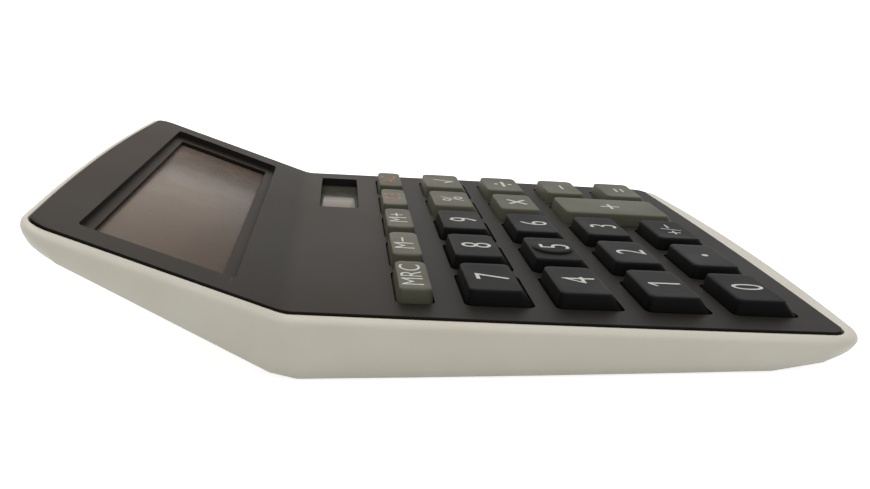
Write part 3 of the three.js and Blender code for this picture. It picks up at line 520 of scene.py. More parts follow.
def baked(piece: Piece) -> Piece:
    """Applies all modifiers of an object to its mesh.

    Args:
        piece: the object.

    Returns:
        The same object with its new mesh.
    """
    bpy.context.view_layer.update()
    graph = bpy.context.evaluated_depsgraph_get()
    mesh = bpy.data.meshes.new_from_object(piece.evaluated_get(graph))
    piece.modifiers.clear()
    old = piece.data
    piece.data = mesh
    mesh.name = piece.name
    bpy.data.meshes.remove(old)
    return piece


def merged(name: str, parts: Sequence[Piece]) -> Piece:
    """Joins objects into one mesh and removes them.

    Args:
        name: the new object's name.
        parts: the objects to join.

    Returns:
        The new object.
    """
    mesh = bpy.data.meshes.new(name)
    store = bmesh.new()
    for part in parts:
        store.from_mesh(part.data)
        bpy.data.objects.remove(part)
    store.to_mesh(mesh)
    store.free()
    return new_object(name, mesh)


class Join(Enum):
    """The ways to combine a piece with another."""

    ADD = "UNION"
    CUT = "DIFFERENCE"
    KEEP_SHARED = "INTERSECT"


def boolean(piece: Piece, tool: Piece, join: Join) -> Piece:
    """Combines a piece with another, which is then removed.

    Args:
        piece: the object that stays.
        tool: the object that joins or cuts it.
        join: the way to combine them.

    Returns:
        The first object.
    """
    modifier = piece.modifiers.new("cut", "BOOLEAN")
    modifier.operation = join.value
    modifier.solver = "EXACT"
    modifier.object = tool
    modifier.use_self = join is Join.CUT
    baked(piece)
    bpy.data.objects.remove(tool)
    return piece


def rounded(piece: Piece, width: float, segments: int = 2) -> Piece:
    """Rounds the sharp edges by a width in millimetres, on clean flat faces.

    Args:
        piece: the object.
        width: the rounding in millimetres.
        segments: faces across the rounding.

    Returns:
        The same object.
    """
    weld, flat, sharp = MM / 500, math.radians(0.4), math.radians(35)
    store = bmesh.new()
    store.from_mesh(piece.data)
    bmesh.ops.triangulate(store, faces=store.faces)
    bmesh.ops.remove_doubles(store, verts=store.verts, dist=weld)
    bmesh.ops.dissolve_limit(store, angle_limit=flat, verts=store.verts, edges=store.edges)
    bmesh.ops.connect_verts_concave(store, faces=store.faces)
    store.to_mesh(piece.data)
    store.free()
    modifier = piece.modifiers.new("edge", "BEVEL")
    modifier.width = width * MM
    modifier.segments = segments
    modifier.limit_method = "ANGLE"
    modifier.angle_limit = sharp
    return baked(piece)


def smooth(piece: Piece, angle: float = 32) -> Piece:
    """Shades a piece smooth, apart from edges sharper than an angle."""
    piece.data.shade_smooth()
    piece.data.set_sharp_from_angle(angle=math.radians(angle))
    return piece


def even(piece: Piece) -> Piece:
    """Weights a smooth piece's normals by face area, so that its large faces shade flat.

    Args:
        piece: the object.

    Returns:
        The same object.
    """
    modifier = piece.modifiers.new("even", "WEIGHTED_NORMAL")
    modifier.keep_sharp = True
    modifier.weight = 100  # the strongest weighting
    return baked(piece)


def settle(piece: Piece, material: Material, body: str, slot: str, *nodes: str) -> Piece:
    """Gives a finished piece its material, its body and the nodes that it stands for.

    Args:
        piece: the finished object.
        material: its material.
        body: the body that it rides on.
        slot: the record's material slot, not used.
        *nodes: construction nodes that it replaces.

    Returns:
        The same object.
    """
    piece.data.materials.clear()
    piece.data.materials.append(material)
    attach(piece, body)
    if nodes:
        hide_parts(*nodes)
    log.info("%s: %d faces", piece.name, len(piece.data.polygons))
    return piece


class NodeGraph:
    """A node tree that is filled node by node."""

    def __init__(self, tree: bpy.types.NodeTree) -> None:
        """Takes a tree and empties it."""
        self.tree = tree
        tree.nodes.clear()

    def add(self, kind: str, values: Optional[Inputs] = None, **settings: Any) -> bpy.types.Node:
        """Adds a node with its settings, and its inputs as values or links.

        Args:
            kind: the node's type.
            values: input name or number to a value or to an output socket.
            **settings: the node's own properties.

        Returns:
            The new node.
        """
        node = self.tree.nodes.new(kind)
        for key, value in settings.items():
            setattr(node, key, value)
        for key, value in (values or {}).items():
            if isinstance(value, Socket):
                self.tree.links.new(value, node.inputs[key])
            else:
                node.inputs[key].default_value = value
        return node

    def background_rays(self) -> Socket:
        """A mask of the rays that show the white background: seen, reflected and seen through.

        Returns:
            The mask's output.
        """
        rays = self.add("ShaderNodeLightPath").outputs
        mask = rays["Is Camera Ray"]
        for name in ("Is Glossy Ray", "Is Transmission Ray"):
            either = {0: mask, 1: rays[name]}
            mask = self.add("ShaderNodeMath", either, operation="MAXIMUM").outputs[0]
        return mask


@dataclass(frozen=True)
class Unevenness:
    """A roughness that runs from least to most over a span of a pattern's values."""

    pattern: Socket
    span: Spot
    least: float
    most: float


class MaterialGraph(NodeGraph):
    """The node tree of one material, in object coordinates."""

    def __init__(self, name: str) -> None:
        """Starts a material.

        Args:
            name: the material's name.
        """
        self.material = bpy.data.materials.new(name)
        self.material.use_nodes = True
        super().__init__(self.material.node_tree)
        self.place = self.add("ShaderNodeTexCoord").outputs["Object"]

    def blend(self, pattern: Socket, span: Spot, colours: tuple[str, str]) -> Socket:
        """Blends two colours over a span of a pattern's values.

        Args:
            pattern: the pattern's output.
            span: the values where the first colour ends and where the second is reached.
            colours: the two colours as hex codes.

        Returns:
            The blended colour.
        """
        ends = {"Value": pattern, "From Min": span[0], "From Max": span[1]}
        share = self.add("ShaderNodeMapRange", ends).outputs["Result"]
        first, second = [to_linear(code) for code in colours]
        inputs = {0: share, 6: first, 7: second}
        return self.add("ShaderNodeMix", inputs, data_type="RGBA").outputs[2]

    def dress(self, values: Inputs, rough: Optional[Unevenness] = None, relief: float = 0,
              height: Optional[Socket] = None) -> Material:
        """Adds the shader and its output.

        Args:
            values: the shader's inputs, as values or links.
            rough: the spread of roughness over a pattern.
            relief: depth in millimetres of the texture.
            height: the pattern that the texture follows.

        Returns:
            The material.
        """
        if rough:
            values["Roughness"] = self.add("ShaderNodeMapRange", {
                "Value": rough.pattern, "From Min": rough.span[0], "From Max": rough.span[1],
                "To Min": rough.least, "To Max": rough.most}).outputs["Result"]
        if height:
            bump = {"Height": height, "Distance": relief * MM, "Strength": 1.0}
            values["Normal"] = self.add("ShaderNodeBump", bump).outputs["Normal"]
        shader = self.add("ShaderNodeBsdfPrincipled", values)
        self.add("ShaderNodeOutputMaterial", {"Surface": shader.outputs["BSDF"]})
        return self.material


@dataclass(frozen=True)
class MouldedPlastic:
    """Injection-moulded plastic: an even, slightly clouded colour with the mould's fine sparked texture.

    Attributes:
        cloud: width of the clouds in millimetres.
        grain: width of the texture's grains in millimetres, coarser than the real 0.05 so that it shows.
        relief: depth of the texture in millimetres.
    """

    name: str
    colour: str
    shade: str
    roughness: float
    spread: float = 0.06
    grain: float = 0.35
    relief: float = 0.004
    cloud: float = 14.0
    ior: float = 1.53
    specular: float = 0.5

    def material(self) -> Material:
        """Builds the finish.

        Returns:
            The material.
        """
        graph = MaterialGraph(self.name)
        clouds = graph.add("ShaderNodeTexNoise", {
            "Vector": graph.place, "Scale": 1 / (self.cloud * MM), "Detail": 3.0}).outputs["Fac"]
        grains = graph.add("ShaderNodeTexNoise", {
            "Vector": graph.place, "Scale": 1 / (self.grain * MM), "Roughness": 0.6}).outputs["Fac"]
        low, high = self.roughness - self.spread, self.roughness + self.spread
        colour = graph.blend(clouds, COLOUR_SPAN, (self.colour, self.shade))
        look = {"Base Color": colour, "IOR": self.ior, "Specular IOR Level": self.specular}
        return graph.dress(look, Unevenness(clouds, GLOSS_SPAN, low, high), self.relief, grains)


@dataclass(frozen=True)
class PrintedInk:
    """Pad-printed ink: a thin matt film, a little uneven in its cover.

    Attributes:
        patch: width of the thin patches in millimetres.
        grain: width of the film's grains in millimetres.
        relief: depth of the grains in millimetres.
    """

    name: str
    colour: str
    thin: str
    patch: float = 0.6
    grain: float = 0.25
    relief: float = 0.002

    def material(self) -> Material:
        """Builds the finish.

        Returns:
            The material.
        """
        graph = MaterialGraph(self.name)
        cover = graph.add("ShaderNodeTexNoise", {
            "Vector": graph.place, "Scale": 1 / (self.patch * MM), "Detail": 3.0}).outputs["Fac"]
        grains = graph.add("ShaderNodeTexNoise", {
            "Vector": graph.place, "Scale": 1 / (self.grain * MM)}).outputs["Fac"]
        colour = graph.blend(cover, (0.35, 0.7), (self.colour, self.thin))
        look = {"Base Color": colour, "Roughness": 0.6, "IOR": 1.5}
        return graph.dress(look, None, self.relief, grains)


@dataclass(frozen=True)
class PolarisedGlass:
    """Glass with a polarising film over a dull reflector: brown-grey, glossy, with faint smears, and
    paler towards the far end as a painted reflection.

    Attributes:
        span: places along Y, in millimetres, between which the near colour turns into the paler far one,
            a painted reflection.
        smear: width of the smears in millimetres.
        gloss: least and most roughness.
    """

    name: str
    near: str
    far: str
    span: Spot
    smear: float = 9.0
    gloss: Spot = (0.24, 0.32)

    def material(self) -> Material:
        """Builds the finish.

        Returns:
            The material.
        """
        graph = MaterialGraph(self.name)
        along = graph.add("ShaderNodeSeparateXYZ", {"Vector": graph.place}).outputs["Y"]
        start, end = self.span
        smears = graph.add("ShaderNodeTexNoise", {
            "Vector": graph.place, "Scale": 1 / (self.smear * MM), "Detail": 4.0,
            "Roughness": 0.6}).outputs["Fac"]
        # Painted reflection: the colour turns from the near tone to the paler far tone along Y
        colour = graph.blend(along, (start * MM, end * MM), (self.near, self.far))
        look = {"Base Color": colour, "IOR": 1.49, "Specular IOR Level": 0.05}
        return graph.dress(look, Unevenness(smears, (0.4, 0.7), *self.gloss))


@dataclass(frozen=True)
class SmokedPane:
    """A small smoked acrylic pane: see-through, glossy and faintly tinted.

    Attributes:
        smear: width of its smears in millimetres.
        gloss: least and most roughness.
        cover: how much of what lies behind it the tint hides.
    """

    name: str
    tint: str
    smear: float = 5.0
    gloss: Spot = (0.06, 0.16)
    cover: float = 0.75

    def material(self) -> Material:
        """Builds the finish.

        Returns:
            The material.
        """
        graph = MaterialGraph(self.name)
        smears = graph.add("ShaderNodeTexNoise", {
            "Vector": graph.place, "Scale": 1 / (self.smear * MM), "Detail": 3.0}).outputs["Fac"]
        tint = to_linear(self.tint)
        look = {"Base Color": tint, "IOR": 1.49, "Specular IOR Level": 0.2, "Alpha": self.cover}
        return graph.dress(look, Unevenness(smears, GLOSS_SPAN, *self.gloss))


@dataclass(frozen=True)
class MetalFinish:
    """Plated or rolled metal: bright, with fine lines or a satin spread of roughness.

    Attributes:
        stretch: how many times longer than wide the lines are.
        line: length of the lines in millimetres.
        relief: depth of the lines in millimetres.
        brighter: how far the roughness goes down between the lines.
        duller: how far it goes up in them.
    """

    name: str
    colour: str
    dull: str
    roughness: float
    stretch: float = 8.0
    line: float = 2.5
    relief: float = 0.003
    brighter: float = 0.06
    duller: float = 0.1

    def material(self) -> Material:
        """Builds the finish.

        Returns:
            The material.
        """
        graph = MaterialGraph(self.name)
        drawn = graph.add("ShaderNodeMapping", {"Vector": graph.place, "Scale": (1, self.stretch, 1)})
        scale = 1 / (self.line * MM)
        lines = graph.add("ShaderNodeTexNoise", {
            "Vector": drawn.outputs["Vector"], "Scale": scale, "Detail": 3.0}).outputs["Fac"]
        low, high = self.roughness - self.brighter, self.roughness + self.duller
        colour = graph.blend(lines, COLOUR_SPAN, (self.colour, self.dull))
        look = {"Base Color": colour, "Metallic": 1.0}
        return graph.dress(look, Unevenness(lines, GLOSS_SPAN, low, high), self.relief, lines)


@dataclass(frozen=True)
class CoatedBoard:
    """Paper-phenolic board with a solder mask over copper tracks, which show as slightly raised lines.

    Attributes:
        pitch: distance between the tracks in millimetres.
        relief: height of the tracks in millimetres.
    """

    name: str
    mask: str
    copper: str
    pitch: float = 2.2
    relief: float = 0.03

    def material(self) -> Material:
        """Builds the finish.

        Returns:
            The material.
        """
        graph = MaterialGraph(self.name)
        scale = 1 / (self.pitch * MM)
        cells = graph.add("ShaderNodeMapping", {"Vector": graph.place, "Scale": (scale,) * 3})
        tracks = graph.add("ShaderNodeTexBrick", {
            "Vector": cells.outputs["Vector"], "Scale": 1.0, "Mortar Size": 0.12}).outputs["Fac"]
        inputs = {0: tracks, 6: to_linear(self.mask), 7: to_linear(self.copper)}
        colour = graph.add("ShaderNodeMix", inputs, data_type="RGBA").outputs[2]
        look = {"Base Color": colour, "Roughness": 0.35, "IOR": 1.5}
        return graph.dress(look, None, self.relief, tracks)


Finish = MouldedPlastic | PrintedInk | PolarisedGlass | SmokedPane | MetalFinish | CoatedBoard


def made(finish: Finish) -> Any:
    """A field whose material is built together with the others."""
    return field(default_factory=finish.material)


@dataclass
class Finishes:
    """All materials of the calculator, made once."""

    # Spark-eroded mould: warm white with a soft satin face
    white: Material = made(MouldedPlastic("abs_off_white", "#CDC9BB", "#C8C3B4", 0.42))
    # Semi-gloss: a broad soft sheen that lifts the black to grey at low angles; the warm tint of its
    # broad clouds is a painted warm reflection, spread at random
    dark: Material = made(MouldedPlastic(
        "abs_near_black", "#191815", "#1E1A15", 0.52, 0.04, cloud=60, specular=0.09))
    # The same plastic without the sheen on its sides
    black_key: Material = made(MouldedPlastic(
        "abs_black_keys", "#050505", "#070707", 0.5, specular=0.07))
    # Grey-green with a dull top
    olive_key: Material = made(MouldedPlastic(
        "abs_olive_keys", "#565547", "#504F42", 0.48, specular=0.12))
    # Flat lettering that lets a little of the key through
    white_ink: Material = made(PrintedInk("ink_white", "#CCCCC5", "#B9B9B2"))
    orange_ink: Material = made(PrintedInk("ink_orange", "#9C6A4E", "#8F6249"))
    # A taupe field, paler towards the rear as a painted reflection, that mirrors softly; its warm brown
    # is partly the glass's own tone and partly a painted warm reflection
    display: Material = made(PolarisedGlass("polarised_glass", "#584B41", "#70655C", (33.0, 55.0)))
    # A dark see-through cover with a wet gloss
    pane: Material = made(SmokedPane("acrylic_smoked", "#5B5B50"))
    # Dark brown amorphous layer behind glass, crossed by dull silver bars, a little paler towards the
    # rear as a painted reflection
    solar: Material = made(PolarisedGlass("silicon_cell", "#453D38", "#4B423D", (14.0, 24.0)))
    silver_line: Material = made(MetalFinish("silver_paste", "#B9B7AE", "#A19F96", 0.4))
    # Soft moulded rubbers, matt and a little dusty
    rubber: Material = made(MouldedPlastic(
        "nitrile_rubber", "#262624", "#2D2D2A", 0.75, 0.08, 0.5, 0.012))
    sheet: Material = made(MouldedPlastic("silicone_grey", "#8F918C", "#868883", 0.6, 0.08, 0.6, 0.006))
    # Green lacquer with paler tracks under it
    board: Material = made(CoatedBoard("board_green_mask", "#3E5C33", "#5B7A3E"))
    # Poured or cast resin: smooth and shiny
    epoxy: Material = made(MouldedPlastic("epoxy_black", "#141414", "#191918", 0.25, 0.08, 1.2, 0.01))
    diode: Material = made(MouldedPlastic("epoxy_red", "#A3281F", "#8F231B", 0.2, 0.05, 1.0))
    # Amber film with copper lines
    film: Material = made(CoatedBoard("polyester_film", "#A97C3E", "#C99A4F", 1.0))
    # Bright plating, duller zinc and warm rolled bronze
    nickel: Material = made(MetalFinish("nickel_plate", "#C9C7C1", "#B5B3AC", 0.25))
    zinc: Material = made(MetalFinish("zinc_plate", "#A9AAA8", "#8E8F8D", 0.35, 3.0))
    bronze: Material = made(MetalFinish("phosphor_bronze", "#B8975A", "#A5854B", 0.32))
    # Extruded wire sleeves, evenly coloured
    red_wire: Material = made(MouldedPlastic("pvc_red", "#B3261E", "#A3221B", 0.4))
    black_wire: Material = made(MouldedPlastic("pvc_black", "#1B1B1B", "#222221", 0.4))


@dataclass
class CaseShell:
    """The white tub: a thin rim round the panel, drafted walls and an upswept rear underside.

    Attributes:
        wall_table: shares of the way down, in and along the ends, of the rings that round the wall.
        fold_reach: half of the length over which the deck bends.
        deck_spots: places of the deck's rings round the bend, in times of fold_reach.
        keel_spots: places of the underside's rings before and after its folds.
        hair: a step that keeps two faces from falling into one plane.
    """

    sizes: Sizes
    finishes: Finishes
    wall_table: tuple[Point, ...] = (
        (0, 0, 0), (0.2, 0.09, 0.05), (0.45, 0.28, 0.17), (0.7, 0.54, 0.45),
        (0.88, 0.78, 0.75), (0.97, 0.9, 0.93), (1, 1, 1),
    )
    wall_substeps: int = 4
    rim_steps: int = 6
    button_radius: float = 5.8
    button_height: float = 3.05
    button_gap: float = 0.5
    bay_centre_x: float = -20.0
    bay_wall: float = 1.0
    bay_front_gap: float = 0.6
    board_rear_lip: float = 0.75
    contact_thick: float = 0.25
    door_plate: float = 0.75
    door_lip: float = 0.55
    door_tongue_thick: float = 0.6
    door_tongue: float = 1.0
    door_gap: float = 0.3
    door_side_margin: float = 1.8
    door_rear_cut: float = 0.5
    door_slot_run: float = 8.0
    ridge_count: int = 3
    ridge_pitch: float = 1.4
    ridge_width: float = 0.5
    ridge_height: float = 0.6
    ridge_lead: float = 0.05
    tunnel_roof: float = 1.2
    boss_top_depth: float = 4.6
    boss_radius: float = 3.0
    foot_thick: float = 0.9
    screw_hole_end: float = 14.0
    fold_reach: float = 1.2
    deck_spots: tuple[float, ...] = (-1, -0.5, 0, 0.5, 1, 2.5)
    keel_spots: Point = (-0.6, 0.8, 1.5)
    stations: int = 4
    door_edge: float = 0.12
    shading_angle: float = 30
    overrun: float = 2.0
    hair: float = 0.01

    def __post_init__(self) -> None:
        """Works out the side lines and the places in the underside."""
        s = self.sizes
        self.keypad_line = SideLine(s.bend_y, s.bend_z, s.alpha)
        self.display_line = SideLine(s.bend_y, s.bend_z, s.beta)
        flat_end = s.bend_y - s.flat_end_lead
        self.facet_end = flat_end + s.rear_facet_run
        facet_z = s.foot_proud + s.rear_facet_run * math.tan(math.radians(s.rear_facet_tilt))
        board_front = s.last_row_y - s.dome_radius - s.board_front_lip
        flat_front = s.bend_y + board_front * math.cos(s.alpha) + s.front_facet_lead
        top = s.display_recess + s.shelf_thick + s.thin_gap
        depth = top + s.glass_stack + s.cell_floor_gap + s.floor_thick
        rear_u = s.display_front_margin + s.shelf_front + s.window_length + s.cell_overlap
        rear_y = s.bend_y + rear_u * math.cos(s.beta) + depth * math.sin(s.beta)
        rear_z = s.bend_z + rear_u * math.sin(s.beta) - depth * math.cos(s.beta)
        slope = math.atan2(rear_z - facet_z, rear_y - self.facet_end)
        self.flat_end = flat_end
        self.flat_line = SideLine(0, s.foot_proud, 0)
        self.rear_facet_line = SideLine(flat_end, s.foot_proud, math.radians(s.rear_facet_tilt))
        self.rear_line = SideLine(self.facet_end, facet_z, slope)
        self.front_facet_line = SideLine(flat_front, s.foot_proud, -math.radians(s.front_facet_tilt))
        board_rear = s.memory_y + s.memory_base / 2 + s.key_gap + self.board_rear_lip
        case_rear = s.bend_y + board_rear * math.cos(s.alpha) + s.board_bottom * math.sin(s.alpha)
        self.bay_front = case_rear + self.bay_front_gap
        self.cavity_half = self.button_radius + self.button_gap
        self.bay_centre_y = self.bay_front + self.bay_wall + self.cavity_half
        self.bay_rear = self.bay_centre_y + self.cavity_half + self.bay_wall
        self.door_half = self.cavity_half + self.door_side_margin
        self.tongue_low = s.foot_proud + self.door_lip + self.door_gap
        self.door_top = s.foot_proud + self.door_plate + self.door_tongue_thick + self.door_gap
        self.cavity_floor = self.door_top + self.door_gap
        contact_space = self.contact_thick + s.seat_gap
        self.bay_ceiling = self.cavity_floor + self.button_height + s.seat_gap + contact_space
        self.bay_top = self.bay_ceiling + self.bay_wall

    def deck(self, y: float, lift: float) -> float:
        """Height of the bent deck at y, moved out by lift."""
        return max(self.keypad_line.height(y, lift), self.display_line.height(y, lift))

    def keel(self, y: float, lift: float) -> float:
        """Height of the underside at y, moved in by lift."""
        lines = (self.flat_line, self.rear_facet_line, self.rear_line, self.front_facet_line)
        return max(each.height(y, lift) for each in lines)

    def outer(self, corner: float = 0) -> PlanOutline:
        """Outline of the case, with its corner radii larger by corner."""
        s = self.sizes
        return PlanOutline(s.case_half, -s.half_length, s.half_length, s.case_front_radius + corner,
                           s.case_rear_radius + corner, s.case_front_bow, s.case_rear_bow)

    def opening(self) -> PlanOutline:
        """Outline of the opening that the panel lies in.

        Returns:
            The outline, a groove's width larger than the panel.
        """
        s = self.sizes
        front = s.bend_y + s.panel_front_y * math.cos(s.alpha) - s.groove_gap
        rear = s.bend_y + s.panel_rear_u * math.cos(s.beta) + s.groove_gap
        return PlanOutline(s.panel_half + s.groove_gap, front, rear, s.panel_front_radius + s.groove_gap,
                           s.panel_rear_radius + s.groove_gap, s.panel_front_bow, s.panel_rear_bow)

    def deck_ring(self, outline: PlanOutline, inset: float, lift: float, rear_share: float = 1) -> Ring:
        """A half ring that follows the deck, softly curved through the bend.

        Args:
            outline: the outline to follow in plan.
            inset: how far inside it the ring lies.
            lift: height above the deck, square to it.
            rear_share: share of the inset that the rear end gets.

        Returns:
            The right half of the ring.
        """
        bend = self.keypad_line.crossing(self.display_line, lift)
        front = self.front_facet_line.y
        stations = spaced(front, bend, self.stations)
        stations += [bend + self.fold_reach * share for share in self.deck_spots]
        points = outline.drawn_in(outline.half_points(stations), inset, inset, inset * rear_share)
        return [(self.sizes.barrelled(x, y), y, self.soft_deck(y, lift)) for x, y in points]

    def soft_deck(self, y: float, lift: float) -> float:
        """Height of the deck with a small fillet in the bend.

        Args:
            y: the place along the case.
            lift: height above the deck, square to it.

        Returns:
            The height.
        """
        bend = self.keypad_line.crossing(self.display_line, lift)
        reach = self.fold_reach
        if abs(y - bend) >= reach:
            return self.deck(y, lift)
        share = (y - bend + reach) / (2 * reach)
        low = self.deck(bend - reach, lift)
        middle = self.deck(bend, lift)
        high = self.deck(bend + reach, lift)
        return low * (1 - share) ** 2 + 2 * middle * share * (1 - share) + high * share ** 2

    def keel_ring(self, inset: float, lift: float, corner: float = 0) -> Ring:
        """A half ring that follows the underside, inside the drafted wall by inset.

        Args:
            inset: how far inside the wall's foot the ring lies.
            lift: height above the underside, square to it.
            corner: what the corner radii gain.

        Returns:
            The right half of the ring.
        """
        s = self.sizes
        outline = self.outer(corner)
        start = self.flat_line.crossing(self.front_facet_line, lift)
        stop = self.flat_line.crossing(self.rear_facet_line, lift)
        end = self.rear_facet_line.crossing(self.rear_line, lift)
        before, after, beyond = self.keel_spots
        stations = spaced(start, stop, self.stations)
        stations += [stop + before, stop, stop + after, (stop + end) / 2, end, end + beyond]
        points = outline.drawn_in(outline.half_points(stations), s.side_draft + inset,
                                  s.front_draft + inset, s.rear_draft + inset)
        return [(s.barrelled(x, y), y, self.keel(y, lift)) for x, y in points]

    def wall_shares(self) -> list[Point]:
        """Height, side and end shares of the wall's rings, smoothed between the table's rows.

        Returns:
            The shares of each ring.
        """
        table = self.wall_table
        shares = []
        for i in range(len(table) - 1):
            before = table[max(i - 1, 0)]
            after = table[min(i + 2, len(table) - 1)]
            for k in range(self.wall_substeps):
                t = k / self.wall_substeps
                row = []
                for a, p, q, b in zip(before, table[i], table[i + 1], after):
                    curve = 2 * p + (q - a) * t + (2 * a - 5 * p + 4 * q - b) * t ** 2
                    row.append(0.5 * (curve + (3 * p - a - 3 * q + b) * t ** 3))
                shares.append(tuple(row))
        return shares + [table[-1]]

    def wall_rings(self) -> list[Ring]:
        """The outside of the wall from the rim down to the underside.

        Returns:
            The right halves of the rings.
        """
        s = self.sizes
        top = self.deck_ring(self.outer(), 0, s.rim_proud - s.rim_edge)
        bottom = self.keel_ring(0, 0)
        rings = []
        for height, side, end in self.wall_shares():
            shares = (side, end, height)
            rings.append([tuple(p + (q - p) * share for p, q, share in zip(a, b, shares))
                          for a, b in zip(top, bottom)])
        return rings

    def rim_rings(self) -> list[Ring]:
        """The rounded top of the rim, from the outside to the inner edge.

        Returns:
            The right halves of the rings.
        """
        s = self.sizes
        rings = []
        for i in range(1, self.rim_steps + 1):
            turn = math.pi / 2 * i / self.rim_steps
            inset = s.rim_edge * (1 - math.cos(turn))
            lift = s.rim_proud - s.rim_edge * (1 - math.sin(turn))
            rings.append(self.deck_ring(self.outer(), inset, lift, s.rim_rear_edge / s.rim_edge))
        edge = s.thin_gap
        for inset, drop in ((-edge, 0), (-edge / 3, edge / 3), (0, edge)):
            rings.append(self.deck_ring(self.opening(), inset, s.rim_proud - drop))
        return rings

    def additions(self) -> list[Piece]:
        """The battery bay, the door's tunnel and the screw bosses, trimmed inside the wall.

        Returns:
            The separate bodies.
        """
        s = self.sizes
        x = self.bay_centre_x
        half = self.door_half + self.door_tongue + self.door_gap + self.bay_wall
        top = self.cavity_floor + self.tunnel_roof
        rear = self.rear_line.crossing(SideLine(0, top, 0), 0) + s.wall_thick
        parts = [
            block("bay", (x - half, self.bay_front, 0), (x + half, self.bay_rear, self.bay_top)),
            block("tunnel", (x - half, self.bay_rear - self.bay_wall, 0), (x + half, rear, top)),
        ]
        for place in s.screw_places:
            heights = (-s.bend_z - self.overrun, -self.boss_top_depth)
            parts.append(drum("boss", self.boss_radius, heights, place, s.keypad_matrix()))
        skin = s.wall_thick / 2
        low = self.keel_ring(skin, skin, s.inner_corner)
        high = self.deck_ring(self.outer(), skin, -s.panel_thick)
        trimmed = []
        for part in parts:
            hull = loft("hull", [whole_ring(low), whole_ring(high)], mirrored=True)
            trimmed.append(boolean(part, hull, Join.KEEP_SHARED))
        return trimmed

    def cavity(self) -> Piece:
        """Cutter for the hollow that the button cell lies in."""
        x, y, half = self.bay_centre_x, self.bay_centre_y, self.cavity_half
        return block("cavity_cut", (x - half, y - half, 0), (x + half, y + half, self.bay_ceiling))

    def door_slot(self) -> Piece:
        """Cutter for the door's opening with the grooves for its tongues.

        Returns:
            The cutter.
        """
        rear = self.facet_end + self.door_slot_run
        plate_half = self.door_half + self.door_gap
        tongue_half = plate_half + self.door_tongue
        groove = self.tongue_low - self.door_gap
        right = [(plate_half, -self.overrun), (plate_half, groove), (tongue_half, groove),
                 (tongue_half, self.cavity_floor)]
        profile = right + [(-half, z) for half, z in reversed(right)]
        ends = (rear, self.bay_front)
        x = self.bay_centre_x
        return loft("door_cut", [[(x + half, y, z) for half, z in profile] for y in ends])

    def build(self) -> None:
        """Makes the tub with its battery bay, wells and recesses."""
        s = self.sizes
        wall = self.wall_rings()[::-1]
        ledge = -s.panel_thick - s.seat_gap
        inside = [
            self.deck_ring(self.opening(), 0, ledge),
            self.deck_ring(self.opening(), s.groove_gap + s.ledge_width, ledge),
            self.keel_ring(s.wall_thick, s.floor_thick, s.inner_corner),
        ]
        rings = [whole_ring(ring) for ring in wall + self.rim_rings() + inside]
        shell = loft("case_shell", rings, mirrored=True)
        for part in self.additions():
            shell = boolean(shell, part, Join.ADD)
        cuts = [self.door_slot(), self.cavity()]
        heights, radius = (-self.screw_hole_end, -s.screw_seat_depth), s.screw_head_radius + s.seat_gap
        cuts += [drum("head_cut", radius, heights, place, s.keypad_matrix()) for place in s.screw_places]
        heights, radius = (-self.overrun, self.foot_thick), s.foot_radius + s.seat_gap
        cuts += [drum("foot_cut", radius, heights, place) for place in s.foot_places]
        for cut in cuts:
            shell = boolean(shell, cut, Join.CUT)
        even(smooth(shell, self.shading_angle))
        settle(shell, self.finishes.white, "case", "white_case", "lower_case")

    def build_door(self) -> None:
        """Makes the battery door with its grip ridges."""
        s = self.sizes
        front = self.bay_front + self.door_gap
        rear = self.facet_end - self.door_rear_cut
        x = self.bay_centre_x
        under = [(y, self.keel(y, 0)) for y in (front, self.flat_end, rear)]
        profile = under + [(rear, self.door_top), (front, self.door_top)]
        rings = [[(x + side * self.door_half, y, z) for y, z in profile] for side in (-1, 1)]
        door = loft("battery_door_plate", rings)
        low = (x - self.door_half - self.door_tongue, front, self.tongue_low)
        high = (x + self.door_half + self.door_tongue, rear - self.hair, self.door_top - self.hair)
        door = boolean(door, block("tongues", low, high), Join.ADD)
        y, z = self.bay_centre_y - self.ridge_pitch, s.foot_proud - self.ridge_lead
        row = RowOfBars(
            count=self.ridge_count,
            step=(0, self.ridge_pitch * MM, 0),
            size=(self.door_half * MM, self.ridge_width * MM, self.ridge_height * MM),
            start=(x * MM, y * MM, z * MM))
        ridges = bar_row("door_ridges", row, self.finishes.white)
        door = boolean(door, ridges, Join.CUT)
        smooth(rounded(door, self.door_edge), self.shading_angle)
        settle(door, self.finishes.white, "battery_door", "white_case", "battery_door")


@dataclass(frozen=True)
class RowOfBars:
    """A straight row of equal bars, in metres."""

    count: int
    step: Point
    size: Point
    start: Point


